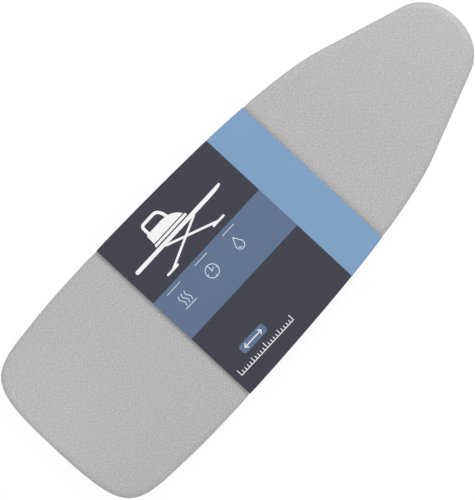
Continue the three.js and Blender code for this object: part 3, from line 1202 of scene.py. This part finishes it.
class Strap:
    """An elastic strap across the underside, sewn on the left and fastened by tape on the right."""

    THREAD_COLOUR = (74, 75, 78)
    TAPE_SEAM = Vector((1.3 * MM, 1.3 * MM, 0.0))  # from a tape's edges in to its stitches
    TAPE_STITCHING = Stitching(2.6 * MM, 2.1 * MM, 0.36 * MM, material=1)
    TAPE_GROUND = 0.3 * MM
    TAPE_BEVEL = 0.12 * MM
    SEWN_SEAM = Vector((2.6 * MM, 2.6 * MM, 0.0))
    SEWN_STITCHING = Stitching(2.7 * MM, 2.2 * MM, 0.4 * MM)
    HOOP_THREAD = 0.07 * MM
    HOOP_BENDS = 5
    HOOP_STEM = 0.7  # of the bend's radius, which a hook or a loop rises before it
    HOOP_ROOT = 0.02 * MM  # how deep a hook or a loop stands in the ground
    HOOP_MARGIN = Vector((2.4 * MM, 2.4 * MM, 0.0))
    RIB_COUNT = 10
    RIB_HEIGHT = 0.07 * MM
    RIB_MARGIN = 0.25 * MM
    LAP_STEPS = 5
    FOLD_STEPS = 8
    SEWN_STEPS = 24
    SPAN_STEPS = 40
    TAPE_STEPS = 8
    BEND_RUN = 26 * MM
    HEM_COVER = 19 * MM  # from the root in to the end of the hem above
    PRESSED_SHARE = 0.88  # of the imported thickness, which the webbing keeps where it is folded

    def __init__(self, name: str) -> None:
        """Reads the boxes of the strap's packed webbing."""
        self.name = name
        self.sewn_low, self.sewn_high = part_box(f"{name}_sewn_end")
        self.web_low, self.web_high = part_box(f"{name}_webbing")
        self.width = self.sewn_high.x - self.sewn_low.x
        self.middle_x = (self.sewn_high.x + self.sewn_low.x) / 2
        self.thick = (self.sewn_high.z - self.sewn_low.z) / 2

    @staticmethod
    def place_of(name: str) -> float:
        """Returns how far along the cover a strap lies."""
        low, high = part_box(f"{name}_webbing")
        return (low.x + high.x) / 2

    def _path(self) -> list[SectionPoint]:
        """Gives the middle of the webbing, from the folded end to the hook tape.

        Returns:
            For each point, its place across the cover, its height and the angle of its run.
        """
        upper = self.sewn_high.z - self.thick / 2
        lower = self.sewn_low.z + self.thick / 2
        low_end = self.web_low.z + self.thick / 2
        radius = self.thick / 2
        outside = self.sewn_high.y - 2 * radius
        left_hem, right_hem = self.hem_y(), -self.hem_y()
        points = self._straight((self.sewn_low.y, upper), (outside, upper), self.LAP_STEPS, 0.0)
        for step in range(1, self.FOLD_STEPS):
            angle = math.pi * step / self.FOLD_STEPS
            z = lerp(upper, lower, (1 - math.cos(angle)) / 2)
            points.append((outside + radius * math.sin(angle), z, -angle))
        points += self._straight((outside, lower), (left_hem, lower), self.SEWN_STEPS, -math.pi)
        slope = math.atan2(lower - low_end, left_hem - right_hem)
        span = self._straight((left_hem, lower), (right_hem, low_end), self.SPAN_STEPS, slope - math.pi)
        points += span[1:-1]
        end = (self.web_low.y, low_end)
        return points + self._straight((right_hem, low_end), end, self.TAPE_STEPS, -math.pi)

    @staticmethod
    def _straight(start: Place, end: Place, steps: int, angle: float) -> list[SectionPoint]:
        """Returns the points of a straight run, with both of its ends."""
        points = []
        for step in range(steps + 1):
            y, z = (lerp(first, last, step / steps) for first, last in zip(start, end))
            points.append((y, z, angle))
        return points

    def hem_y(self) -> float:
        """Returns where the free webbing leaves the shelter of the hem, on the left."""
        return self.web_high.y - self.HEM_COVER

    def _section(self) -> list[Place]:
        """Returns the webbing's ribbed section, as places across its width and through it."""
        half, thin = self.width / 2, self.thick * self.PRESSED_SHARE / 2
        count = 2 * self.RIB_COUNT
        end = half - self.RIB_MARGIN
        across = [lerp(-end, end, step / count) for step in range(count + 1)]
        upper = [(x, thin - (0.0 if step % 2 else self.RIB_HEIGHT)) for step, x in enumerate(across)]
        lower = [(x, -z) for x, z in reversed(upper)]
        return [*upper, (half, 0.0), *lower, (-half, 0.0)]

    def build_band(self) -> bpy.types.Object:
        """Builds the webbing as one length, folded under at its sewn end."""
        section = self._section()
        skin = Skin(len(section))
        path = self._path()
        for (y, z, angle), travelled in zip(path, runs_along(path)):
            normal = (-math.sin(angle), math.cos(angle))
            skin.add(
                [Vector((self.middle_x + x, y + normal[0] * t, z + normal[1] * t)) for x, t in section],
                [(x, travelled) for x, _ in section],
            )
        skin.cap()
        rib = self.width / self.RIB_COUNT
        finish = WovenTape("webbing_weave", (43, 44, 47), 0.6 * MM, rib, 0, 0.1 * MM)
        band = skin.finish(f"{self.name}_band", [finish.build()], crease=math.radians(80))
        dress(band, None, "webbing", f"{self.name}_sewn_end", f"{self.name}_webbing")
        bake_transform(band)
        return band

    @classmethod
    def _tape_base(cls, low: Vector, high: Vector) -> bmesh.types.BMesh:
        """Returns the woven ground of a tape as a plate with softened edges, between two corners."""
        mesh = bmesh.new()
        place = Matrix.Translation((low + high) / 2) @ Matrix.Diagonal((*(high - low), 1.0))
        bmesh.ops.create_cube(mesh, size=1.0, matrix=place)
        bmesh.ops.bevel(
            mesh, geom=list(mesh.edges), offset=cls.TAPE_BEVEL, offset_type="OFFSET", segments=2,
            profile=0.5, affect="EDGES", material=-1,
        )
        return mesh

    @classmethod
    def _hoop_stamp(cls, kind: TapeKind) -> Stamp:
        """Returns one hook or loop, a thread that stands on the ground and bends along X."""
        skin = Skin(4)
        radius = kind.radius
        for step in range(-1, cls.HOOP_BENDS + 1):
            angle = max(kind.sweep * step / cls.HOOP_BENDS, 0.0)
            stem = cls.HOOP_STEM * radius if step >= 0 else 0.0
            centre = Vector((radius * (1 - math.cos(angle)), 0.0, stem + radius * math.sin(angle)))
            out = Vector((-math.cos(angle), 0.0, math.sin(angle)))
            corners = []
            for corner in range(4):
                turn = math.pi / 4 + corner * QUARTER_TURN
                way = out * math.cos(turn) + Vector((0.0, math.sin(turn), 0.0))
                corners.append(centre + way * cls.HOOP_THREAD)
            skin.add(corners)
        skin.cap()
        bmesh.ops.recalc_face_normals(skin.mesh, faces=skin.mesh.faces)
        return Stamp(skin.mesh)

    def build_tape(self, kind: TapeKind) -> bpy.types.Object:
        """Builds the hook tape on the webbing, or the loop tape on the skirt.

        Args:
            kind: Which of the two it is.

        Returns:
            The tape with its hooks or its pile.
        """
        node = f"{self.name}_{kind.name}_tape"
        low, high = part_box(node)
        ground_low, ground_high = low.copy(), high.copy()
        if kind is HOOKS:
            ground_high.z = low.z + self.TAPE_GROUND
            body, face_z = self.name, ground_high.z
        else:
            ground_low.z = high.z - self.TAPE_GROUND
            body, face_z = "cover", ground_low.z
        foot_z = face_z - kind.up * self.HOOP_ROOT
        mesh = self._tape_base(ground_low, ground_high)
        self._plant(mesh, kind, low, high, foot_z)
        self._sew_round(mesh, low, high, foot_z, UP * kind.up)
        if kind is HOOKS:
            under_webbing = self.web_low.z + (1 - self.PRESSED_SHARE) * self.thick / 2
            self._sew_round(mesh, low, high, under_webbing, -UP)
        nylon = FasteningTape(f"{kind.name}_tape_nylon", kind.colour, kind.roughness)
        thread = Thread(f"{kind.name}_thread", self.THREAD_COLOUR)
        tape = make_object(mesh, f"{self.name}_{kind.name}s", [nylon.build(), thread.build()])
        return dress(tape, body, f"{kind.name}_tape", node)

    def _plant(self, mesh: bmesh.types.BMesh, kind: TapeKind, low: Vector, high: Vector,
               z: float) -> None:
        """Plants a tape's hooks or loops in rows, every second row half a place further on.

        Args:
            mesh: The bmesh of the tape.
            kind: Which of the two it is.
            low: The tape's lowest corner.
            high: The tape's highest corner.
            z: The height that they start from.
        """
        chance = random.Random(f"{self.name} {kind is HOOKS}")
        hoop = self._hoop_stamp(kind)
        tip = Matrix.Diagonal((1.0, kind.up, kind.up, 1.0))
        near, far = low + self.HOOP_MARGIN, high - self.HOOP_MARGIN
        for row in range(kind.rows):
            for place in range(kind.rows):
                x = lerp(near.x, far.x, (place + 0.5 * (row % 2)) / (kind.rows - 0.5))
                y = lerp(near.y, far.y, row / (kind.rows - 1))
                if kind is HOOKS:
                    turn = QUARTER_TURN if row % 2 else -QUARTER_TURN
                else:
                    turn = chance.uniform(0, math.tau)
                x += chance.uniform(-kind.jitter, kind.jitter)
                y += chance.uniform(-kind.jitter, kind.jitter)
                foot = Matrix.Translation((x, y, z))
                hoop.press(mesh, foot @ Matrix.Rotation(turn, 4, "Z") @ tip)

    def _sew_round(self, mesh: bmesh.types.BMesh, low: Vector, high: Vector, z: float,
                   out: Vector) -> None:
        """Sews round a tape, inside its edges.

        Args:
            mesh: The bmesh of the tape, whose second material is the thread.
            low: The tape's lowest corner.
            high: The tape's highest corner.
            z: The height of the face that the stitches lie on.
            out: The direction out of that face.
        """
        corners = self._corners(low + self.TAPE_SEAM, high - self.TAPE_SEAM, z)
        self.TAPE_STITCHING.sew(mesh, [*corners, corners[0]], out)

    @staticmethod
    def _corners(near: Vector, far: Vector, z: float) -> list[Vector]:
        """Returns the four corners between two opposite ones, at one height."""
        plan = ((near.x, near.y), (far.x, near.y), (far.x, far.y), (near.x, far.y))
        return [Vector((x, y, z)) for x, y in plan]

    def build_stitches(self) -> bpy.types.Object:
        """Builds the box and cross of stitches through the sewn end."""
        mesh = bmesh.new()
        near, far = self.sewn_low + self.SEWN_SEAM, self.sewn_high - self.SEWN_SEAM
        corners = self._corners(near, far, self.sewn_low.z)
        for row in ([*corners, corners[0]], corners[0::2], corners[1::2]):
            self.SEWN_STITCHING.sew(mesh, row, -UP)
        thread = Thread("strap_thread", self.THREAD_COLOUR)
        stitches = make_object(mesh, f"{self.name}_stitches", [thread.build()], math.pi)
        return dress(stitches, "cover", "webbing")

    def build(self) -> None:
        """Builds every piece of the strap."""
        self.build_band()
        self.build_tape(HOOKS)
        self.build_tape(LOOPS)
        self.build_stitches()


class Panel(Enum):
    """The printed panels of the sleeve, in the order of its material slots."""

    SLATE = 0
    STEEL_BLUE = 1
    LIGHT_BLUE = 2


INKS = {
    Panel.SLATE: PrintedCard("slate_print", (63, 63, 74)),
    Panel.STEEL_BLUE: PrintedCard("steel_blue_print", (97, 117, 146)),
    Panel.LIGHT_BLUE: PrintedCard("light_blue_print", (128, 162, 199)),
}


@dataclass
class CardSleeve:
    """The printed card round the middle of the cover, creased and lapped, with its white marks."""

    outline: Outline
    card: float = 0.5 * MM
    gap: float = 0.3 * MM
    top_crease: float = 4 * MM
    bottom_crease: float = 3 * MM
    lap_y: float = 25 * MM
    lap_width: float = 30 * MM
    lap_ramp: float = 12 * MM
    flap_z: float = 0.75 * MM
    stripe_x: float = 72.5 * MM
    band_low_y: float = -52.5 * MM
    band_high_y: float = 58 * MM
    bend_steps: int = 6
    spans: tuple[int, ...] = (3, 4, 6, 3, 16, 3, 10)  # steps in each flat, from the inner flap round
    columns: int = 44
    ink: float = 0.04 * MM

    def __post_init__(self) -> None:
        """Reads the sleeve's packed box."""
        self.low, self.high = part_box("sleeve_card")

    def _path(self, x: float) -> list[Vector]:
        """Gives the card's outer face in one section.

        Args:
            x: Where the section is, along the cover.

        Returns:
            Points in Y and Z, from the inner flap's free edge to that of the outer flap.
        """
        half = self.outline.half_width_at(x) - SLEEVE_SQUEEZE + self.gap + self.card
        top = self.high.z
        inner_end = self.lap_y - self.lap_width / 2
        outer_end = self.lap_y + self.lap_width / 2

        def corner(side: float, z: float, radius: float, start: float) -> list[Vector]:
            """Returns the points of one rounded crease."""
            centre = Vector((side * (half - radius), z))
            points = []
            for step in range(self.bend_steps + 1):
                angle = QUARTER_TURN * (start + step / self.bend_steps)
                points.append(centre + Vector((math.cos(angle), math.sin(angle))) * radius)
            return points

        keys = [
            [Vector((outer_end + self.gap, self.flap_z))],
            [Vector((outer_end + self.gap + self.lap_ramp, 0.0))],
            corner(1, self.bottom_crease, self.bottom_crease, -1),
            corner(1, top - self.top_crease, self.top_crease, 0),
            corner(-1, top - self.top_crease, self.top_crease, 1),
            corner(-1, self.bottom_crease, self.bottom_crease, 2),
            [Vector((outer_end, 0.0))],
        ]
        path = [Vector((inner_end, self.flap_z))]
        for run, span in zip(keys, self.spans):
            start = path[-1]
            path += [start.lerp(run[0], step / span) for step in range(1, span + 1)]
            path += run[1:]
        return path

    def build_card(self) -> bpy.types.Object:
        """Builds the card from a flat grid that is wrapped round the cover."""
        places = [lerp(self.low.x, self.high.x, step / self.columns) for step in range(self.columns + 1)]
        sections = [self._path(x) for x in places]
        rows = len(sections[0]) - 1
        mesh = bmesh.new()
        bmesh.ops.create_grid(mesh, x_segments=self.columns, y_segments=rows, size=0.5)
        for vertex in mesh.verts:
            column = round((vertex.co.x + 0.5) * self.columns)
            at = sections[column][round((vertex.co.y + 0.5) * rows)]
            vertex.co = (places[column], at.x, at.y)
        for place, direction in (
            (Vector((self.stripe_x, 0, 0)), Vector((1, 0, 0))),
            (Vector((0, self.band_low_y, 0)), Vector((0, 1, 0))),
            (Vector((0, self.band_high_y, 0)), Vector((0, 1, 0))),
        ):
            parts = [*mesh.verts, *mesh.edges, *mesh.faces]
            bmesh.ops.bisect_plane(mesh, geom=parts, plane_co=place, plane_no=direction)
        bmesh.ops.recalc_face_normals(mesh, faces=mesh.faces)
        top_face = max(mesh.faces, key=lambda face: face.calc_center_median().z)
        if top_face.normal.z < 0:
            bmesh.ops.reverse_faces(mesh, faces=mesh.faces)
        for face in mesh.faces:
            face.material_index = self._panel_at(face.calc_center_median()).value
        inks = [INKS[panel].build() for panel in Panel]
        inside = [RawBoard().build()] * len(inks)
        sleeve = make_object(mesh, "card_sleeve", inks + inside, math.radians(60))
        add_solidify(sleeve, self.card, material_step=len(inks))
        return dress(sleeve, "sleeve", "printed_card", "sleeve_card")

    def _panel_at(self, place: Vector) -> Panel:
        """Returns the panel that is printed at a place."""
        if place.x > self.stripe_x:
            return Panel.LIGHT_BLUE
        if place.z > self.high.z / 2 and self.band_low_y < place.y < self.band_high_y:
            return Panel.STEEL_BLUE
        return Panel.SLATE

    def dress_glue(self, glue: bpy.types.Object) -> None:
        """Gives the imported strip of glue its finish."""
        glue.data.materials.clear()
        glue.data.materials.append(SetGlue().build())

    def build(self, glue: bpy.types.Object) -> None:
        """Builds every piece of the sleeve.

        Args:
            glue: The CAD node of the strip of glue, which stays.
        """
        self.build_card()
        self.dress_glue(glue)
        PrintedMarks(self.high.z, self.ink).build()


@dataclass
class PrintedMarks:
    """The marks printed on the sleeve's top panel: rules, pictograms and a plain size tag."""

    face_z: float
    ink: float
    rule_y: float = 48 * MM
    rule_width: float = 1.1 * MM
    rules: tuple[Place, ...] = (  # where each starts and ends
        (-224 * MM, -185.5 * MM), (-138 * MM, -101 * MM), (-52.5 * MM, -17.5 * MM),
    )
    line: float = 1.6 * MM
    leg_line: float = 5 * MM
    scale_line: float = 1.8 * MM
    arrow_line: float = 2.2 * MM
    arrow_head: float = 5.5 * MM
    arrow_margin: float = 11 * MM
    grip_line: float = 7 * MM
    foot_reach: float = 15 * MM
    least_mitre: float = 0.4
    icon_half: float = 15 * MM
    icon_y: float = 13.5 * MM
    icon_x: tuple[float, float, float] = (-202 * MM, -121 * MM, -40 * MM)
    tag_low: Place = (-203 * MM, -158 * MM)
    tag_high: Place = (-131.5 * MM, -136.5 * MM)
    tag_corner: float = 7 * MM

    def __post_init__(self) -> None:
        """Starts the bmesh of the first ink."""
        self.mesh = bmesh.new()

    def lay_ink(self, name: str, finish: PrintedCard) -> None:
        """Makes one piece of the marks printed since the last ink, and starts the next ink's bmesh.

        Args:
            name: The piece's name.
            finish: The ink.
        """
        bmesh.ops.recalc_face_normals(self.mesh, faces=self.mesh.faces)
        dress(make_object(self.mesh, name, [finish.build()]), "sleeve", "printed_card")
        self.mesh = bmesh.new()

    def top_of(self, layer: int) -> float:
        """Returns the height of a layer of ink, so that marks that cross don't lie in one plane."""
        return self.face_z + self.ink * (1 + layer / 4)

    def stroke(self, path: Sequence[Place], width: float, closed: bool = False, layer: int = 0) -> None:
        """Prints a line of even width, with round ends where it is open.

        Args:
            path: Its points, in the panel's own plan.
            width: How wide the line is.
            closed: Whether its end joins its start.
            layer: Which layer of ink it is in.
        """
        points = [Vector(point) for point in path]
        ways = [(end - start).normalized() for start, end in zip(points, [*points[1:], points[0]])]
        if closed:
            points.append(points[0])
            turns = zip([ways[-1], *ways], [*ways, ways[0]])
        else:
            turns = zip([ways[0], *ways[:-1]], [*ways[:-1], ways[-2]])
        sections = []
        for here, (arriving, leaving) in zip(points, turns):
            along = (arriving + leaving).normalized()
            mitre = max(along.dot(arriving), self.least_mitre)
            sections.append((here, Vector((-along.y, along.x)) * (width / 2 / mitre)))
        if not closed:
            start, end = self.round_end(*sections[0], -1.0), self.round_end(*sections[-1], 1.0)
            sections = [*reversed(start), *sections[1:-1], *end]
        low, high = self.face_z - self.ink / 2, self.top_of(layer)
        skin = Skin(4, self.mesh)
        for here, side in sections:
            places = ((here + side, high), (here + side, low), (here - side, low), (here - side, high))
            skin.add([Vector((at.x, at.y, z)) for at, z in places])
        if closed:
            skin.join_ends(1e-7)
        else:
            skin.cap()

    @staticmethod
    def round_end(here: Vector, side: Vector, sense: float) -> list[tuple[Vector, Vector]]:
        """Gives the sections of a line's round end.

        Args:
            here: The middle of the line's last full section.
            side: From there to the line's left edge.
            sense: 1 at the line's end, or -1 at its start.

        Returns:
            The middle and the half width of each section, outwards from the full one.
        """
        forward = Vector((side.y, -side.x)) * sense
        angles = [QUARTER_TURN * step / 5 for step in range(5)]
        return [(here + forward * math.sin(angle), side * math.cos(angle)) for angle in angles]

    def patch(self, rim: Sequence[Place], layer: int = 0) -> None:
        """Prints a filled shape.

        Args:
            rim: The points round it, anticlockwise in the panel's own plan.
            layer: Which layer of ink it is in.
        """
        circle = bmesh.ops.create_circle(self.mesh, segments=len(rim), radius=1.0, cap_ends=True)
        made = circle["verts"]
        for vertex, place in zip(made, rim):
            vertex.co = (*place, self.face_z - self.ink / 2)
        face = made[0].link_faces[0]
        raised = bmesh.ops.extrude_face_region(self.mesh, geom=[face], use_keep_orig=True)["geom"]
        for part in raised:
            if isinstance(part, bmesh.types.BMVert):
                part.co.z = self.top_of(layer)

    @staticmethod
    def bend(start: Place, first: Place, second: Place, end: Place, steps: int) -> list[Place]:
        """Returns the points of a curve with two handles."""
        corners = (Vector(corner) for corner in (start, first, second, end))
        return [tuple(point[:2]) for point in geometry.interpolate_bezier(*corners, steps + 1)]

    @staticmethod
    def arc(centre: Place, radius: float, start: float, end: float, steps: int) -> list[Place]:
        """Returns the points of an arc, with angles in degrees."""
        angles = [math.radians(lerp(start, end, step / steps)) for step in range(steps + 1)]
        x, y = centre
        return [(x + radius * math.cos(angle), y + radius * math.sin(angle)) for angle in angles]

    def print_rules(self) -> None:
        """Prints the three short rules over the pictograms."""
        for start, end in self.rules:
            self.stroke([(start, self.rule_y), (end, self.rule_y)], self.rule_width)

    def print_heat(self, x: float) -> None:
        """Prints the pictogram for heat: three waves that rise from a plain surface."""
        y = self.icon_y
        half = self.icon_half
        self.stroke([(x - half, y - half), (x + half, y - half)], self.line)
        for shift in (-9 * MM, 0.0, 9 * MM):
            wave = []
            for step in range(17):
                share = step / 16
                sway = 2.6 * MM * math.sin(math.tau * share)
                wave.append((x + shift + sway, lerp(y - 10 * MM, y + half, share)))
            self.stroke(wave, self.line)

    def print_clock(self, x: float) -> None:
        """Prints the pictogram for time: a clock's face with two hands and four marks."""
        y = self.icon_y
        self.stroke(self.arc((x, y), self.icon_half, 0, 360, 40)[:-1], self.line, closed=True)
        self.stroke([(x + 7 * MM, y + 4 * MM), (x, y), (x, y + 10 * MM)], self.line)
        for quarter in range(4):
            angle = quarter * QUARTER_TURN
            way = Vector((math.cos(angle), math.sin(angle)))
            ends = [Vector((x, y)) + way * reach for reach in (11.5 * MM, 13.2 * MM)]
            self.stroke([tuple(end) for end in ends], self.line)

    def print_drop(self, x: float) -> None:
        """Prints the pictogram for spills: a drop with a glint on its round side."""
        radius = 10 * MM
        centre = (x, self.icon_y - 5 * MM)
        drop = self.arc(centre, radius, -212, 32, 30)
        tip = (x, self.icon_y + 16 * MM)
        self.stroke([*drop, tip], self.line, closed=True)
        self.stroke(self.arc(centre, 0.58 * radius, 195, 270, 8), self.line)

    def print_board(self) -> None:
        """Prints the large pictogram: an ironing board on crossed legs, seen from its side."""
        tail, nose = -236 * MM, 26 * MM
        low, high, foot = 122 * MM, 131 * MM, 76 * MM
        edge = (high - low) / 2
        under_nose = self.bend(
            (nose - 48 * MM, low), (nose - 22 * MM, low), (nose - 3 * MM, low + 1 * MM),
            (nose, high - 3 * MM), 10,
        )
        corner = self.arc((tail + edge, low + edge), edge, 90, 270, 8)
        self.patch([*corner, *under_nose, (nose - 2 * MM, high)])
        legs = (((-176 * MM, foot), (-62 * MM, low)), ((-34 * MM, foot), (-148 * MM, low)))
        for layer, (end, joint) in enumerate(legs, start=1):
            self.stroke([end, joint], self.leg_line, layer=layer)
            stand = [(end[0] - self.foot_reach, foot), (end[0] + self.foot_reach, foot)]
            self.stroke(stand, self.leg_line, layer=3)
        self.print_iron(-166 * MM, high + 3 * MM)

    def print_iron(self, heel: float, base: float) -> None:
        """Prints a plain iron, seen from its side, on the board of the large pictogram.

        Args:
            heel: Where its heel stands along the panel.
            base: Where the underside of its soleplate lies across the panel.
        """
        def at(along: float, up: float) -> Place:
            """Returns a point of the iron, in millimetres from its heel and its base."""
            return (heel + along * MM, base + up * MM)

        self.patch([at(0, 0), *self.bend(at(96, 0), at(97, 3), at(96, 5.5), at(94, 6), 4), at(2, 6)])
        front = self.bend(at(92, 8.5), at(84, 24), at(68, 32), at(46, 32), 14)
        self.patch([at(3, 8.5), *front, *self.bend(at(8, 32), at(5, 32), at(4, 29), at(4, 26), 5)])
        grip = [at(11, 29), *self.bend(at(11, 44), at(11, 50), at(13, 53), at(19, 53), 6)]
        grip += [*self.bend(at(46, 53), at(56, 53), at(62, 46), at(64, 29), 10)]
        self.stroke(grip, self.grip_line, layer=1)

    def print_scale(self) -> None:
        """Prints a plain graduated line under the size tag."""
        start, end = -240 * MM, -80 * MM
        y = -183 * MM
        divisions = 20
        self.stroke([(start, y), (end, y)], self.scale_line)
        for step in range(divisions + 1):
            x = lerp(start, end, step / divisions)
            height = (14 if step % 10 == 0 else 10.5 if step % 5 == 0 else 7) * MM
            self.stroke([(x, y), (x, y + height)], self.scale_line, layer=1)

    def print_tag_arrow(self) -> None:
        """Prints the arrow with two heads on the size tag."""
        y = (self.tag_low[1] + self.tag_high[1]) / 2
        left, right = self.tag_low[0] + self.arrow_margin, self.tag_high[0] - self.arrow_margin
        head = self.arrow_head
        self.stroke([(left, y), (right, y)], self.arrow_line)
        for tip, barb in ((left, left + head), (right, right - head)):
            self.stroke([(barb, y + head), (tip, y), (barb, y - head)], self.arrow_line, layer=1)

    def print_tag(self) -> None:
        """Prints the ground of the size tag, with its round corners, under its arrow."""
        radius = self.tag_corner
        near, far = self.tag_low[0] + radius, self.tag_high[0] - radius
        low, high = self.tag_low[1] + radius, self.tag_high[1] - radius
        corners = ((far, low), (far, high), (near, high), (near, low))
        rim = []
        for number, corner in enumerate(corners):
            rim += self.arc(corner, radius, 90 * (number - 1), 90 * number, 8)
        self.patch(rim, layer=-2)

    def build(self) -> None:
        """Prints the small pictograms in a pale blue white, the other marks in white, and the tag."""
        heat_x, clock_x, drop_x = self.icon_x
        self.print_heat(heat_x)
        self.print_clock(clock_x)
        self.print_drop(drop_x)
        self.lay_ink("pictograms", PrintedCard("pale_print", (223, 240, 252)))
        self.print_rules()
        self.print_board()
        self.print_scale()
        self.print_tag_arrow()
        self.lay_ink("white_marks", PrintedCard("white_print", (250, 250, 251)))
        self.print_tag()
        self.lay_ink("size_tag", PrintedCard("tag_print", (96, 119, 151)))


@dataclass(frozen=True)
class Lamp:
    """A square lamp that faces the middle of the cover and that the camera doesn't see."""

    name: str
    place: tuple[float, float, float]
    size: float  # the length of its side
    power: float  # in watts

    def build(self) -> None:
        """Hangs the lamp."""
        data = bpy.data.lights.new(self.name, "AREA")
        data.size = self.size
        data.energy = self.power
        lamp = bpy.data.objects.new(self.name, data)
        lamp.visible_camera = False
        lamp.location = self.place
        lamp.rotation_mode = "QUATERNION"
        lamp.rotation_quaternion = (-Vector(self.place)).to_track_quat("-Z", "Y")
        bpy.context.scene.collection.objects.link(lamp)


@dataclass
class Studio:
    """The camera over the object, the lamps, the white floor and the world."""

    LAMPS = (
        Lamp("key", (3.0, 0.75, 2.6), 1.4, 55.0),
        Lamp("tail_fill", (-0.67, 0.09, 0.26), 0.2, 0.088),
        Lamp("underside_fill", (-1.4, 1.2, -2.2), 1.6, 40.0),
    )

    top_z: float
    frame_height_px: float = 500.0
    frame_width_px: float = 475.0
    object_middle_px: tuple[float, float] = (255.85, 233.33)
    pixel: float = 2.118 * MM
    axis_turn: float = 47.1225  # of the cover's axis over the photograph's level, in degrees
    lens: float = 300.0
    sensor: float = 36.0
    floor_drop: float = 0.5 * MM
    floor_size: float = 12.0
    floor_paint: tuple[float, ...] = (0.95, 0.95, 0.95, 1.0)
    floor_glow: float = 1.02
    glow_share: float = 0.9  # the rest of the floor's look is its paint, which takes the shadow
    world_light: tuple[float, float] = (0.35, 0.732)  # from below and from above
    horizon: tuple[float, float] = (-0.25, 0.05)  # the heights of a ray between which it changes

    def build_camera(self) -> None:
        """Builds the camera that looks straight down."""
        data = bpy.data.cameras.new("camera")
        data.lens = self.lens
        data.sensor_width = self.sensor
        camera = bpy.data.objects.new("camera", data)
        bpy.context.scene.collection.objects.link(camera)
        turn = math.radians(self.axis_turn)
        right = Vector((math.cos(turn), -math.sin(turn)))
        up = Vector((math.sin(turn), math.cos(turn)))
        across = (self.frame_width_px / 2 - self.object_middle_px[0]) * self.pixel
        above = (self.object_middle_px[1] - self.frame_height_px / 2) * self.pixel
        middle = right * across + up * above
        distance = self.frame_height_px * self.pixel * self.lens / self.sensor
        camera.location = (middle.x, middle.y, self.top_z + distance)
        camera.rotation_euler = (0.0, 0.0, -turn)
        data.clip_end = 4 * distance
        bpy.context.scene.camera = camera

    def build_world(self) -> None:
        """Lights the scene evenly from all round, with a background that is seen as white."""
        world = bpy.data.worlds.new("studio_world")
        sheet = NodeSheet(world)
        ray = sheet.add("TexCoord", {}).outputs["Generated"]
        height = sheet.add("SeparateXYZ", {0: ray}).outputs["Z"]
        soft = sheet.first("BACKGROUND")
        sheet.feed(soft.inputs["Color"], WHITE)
        sheet.feed(soft.inputs["Strength"], sheet.range(height, *self.world_light, *self.horizon))
        white = sheet.add("Background", {"Color": WHITE, "Strength": 1.0})
        mixed = sheet.mix_shaders(sheet.seen_share(), soft, white)
        sheet.feed(sheet.first("OUTPUT_WORLD").inputs["Surface"], mixed.outputs[0])
        bpy.context.scene.world = world

    def build_floor(self) -> None:
        """Builds the white floor, which can be seen only from above."""
        mesh = bmesh.new()
        place = Matrix.Translation((0.0, 0.0, -self.floor_drop))
        bmesh.ops.create_grid(mesh, x_segments=8, y_segments=8, size=self.floor_size / 2, matrix=place)
        material = bpy.data.materials.new("studio_floor")
        sheet = NodeSheet(material)
        sheet.tree.nodes.remove(sheet.first("BSDF_PRINCIPLED"))
        paint = sheet.add("BsdfDiffuse", {"Color": self.floor_paint})
        glow = sheet.add("Emission", {"Strength": self.floor_glow})
        clear = sheet.add("BsdfTransparent", {"Color": WHITE})
        glowing = sheet.math("MULTIPLY", sheet.seen_share(), self.glow_share)
        below = sheet.add("NewGeometry", {}).outputs["Backfacing"]
        faced = sheet.mix_shaders(below, sheet.mix_shaders(glowing, paint, glow), clear)
        sheet.feed(sheet.first("OUTPUT_MATERIAL").inputs["Surface"], faced.outputs[0])
        floor = make_object(mesh, "floor", [material])
        floor.visible_shadow = False
        floor.visible_diffuse = False
        floor.visible_glossy = False

    def build(self) -> None:
        """Builds the whole studio."""
        self.build_camera()
        for lamp in self.LAMPS:
            lamp.build()
        self.build_world()
        self.build_floor()
        bpy.context.scene.view_settings.view_transform = "Standard"


def main() -> None:
    """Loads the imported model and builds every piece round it."""
    logging.basicConfig(level=logging.INFO, format="%(name)s: %(message)s")
    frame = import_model()
    Studio(top_z=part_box("cover_cloth")[1].z).build()
    cover = PaddedCover([Strap.place_of(name) for name in STRAP_NAMES])
    cover.build()
    for name in STRAP_NAMES:
        Strap(name).build()
    CardSleeve(cover.outline).build(frame["nodes"]["sleeve_glue"])


if __name__ == "__main__":
    main()
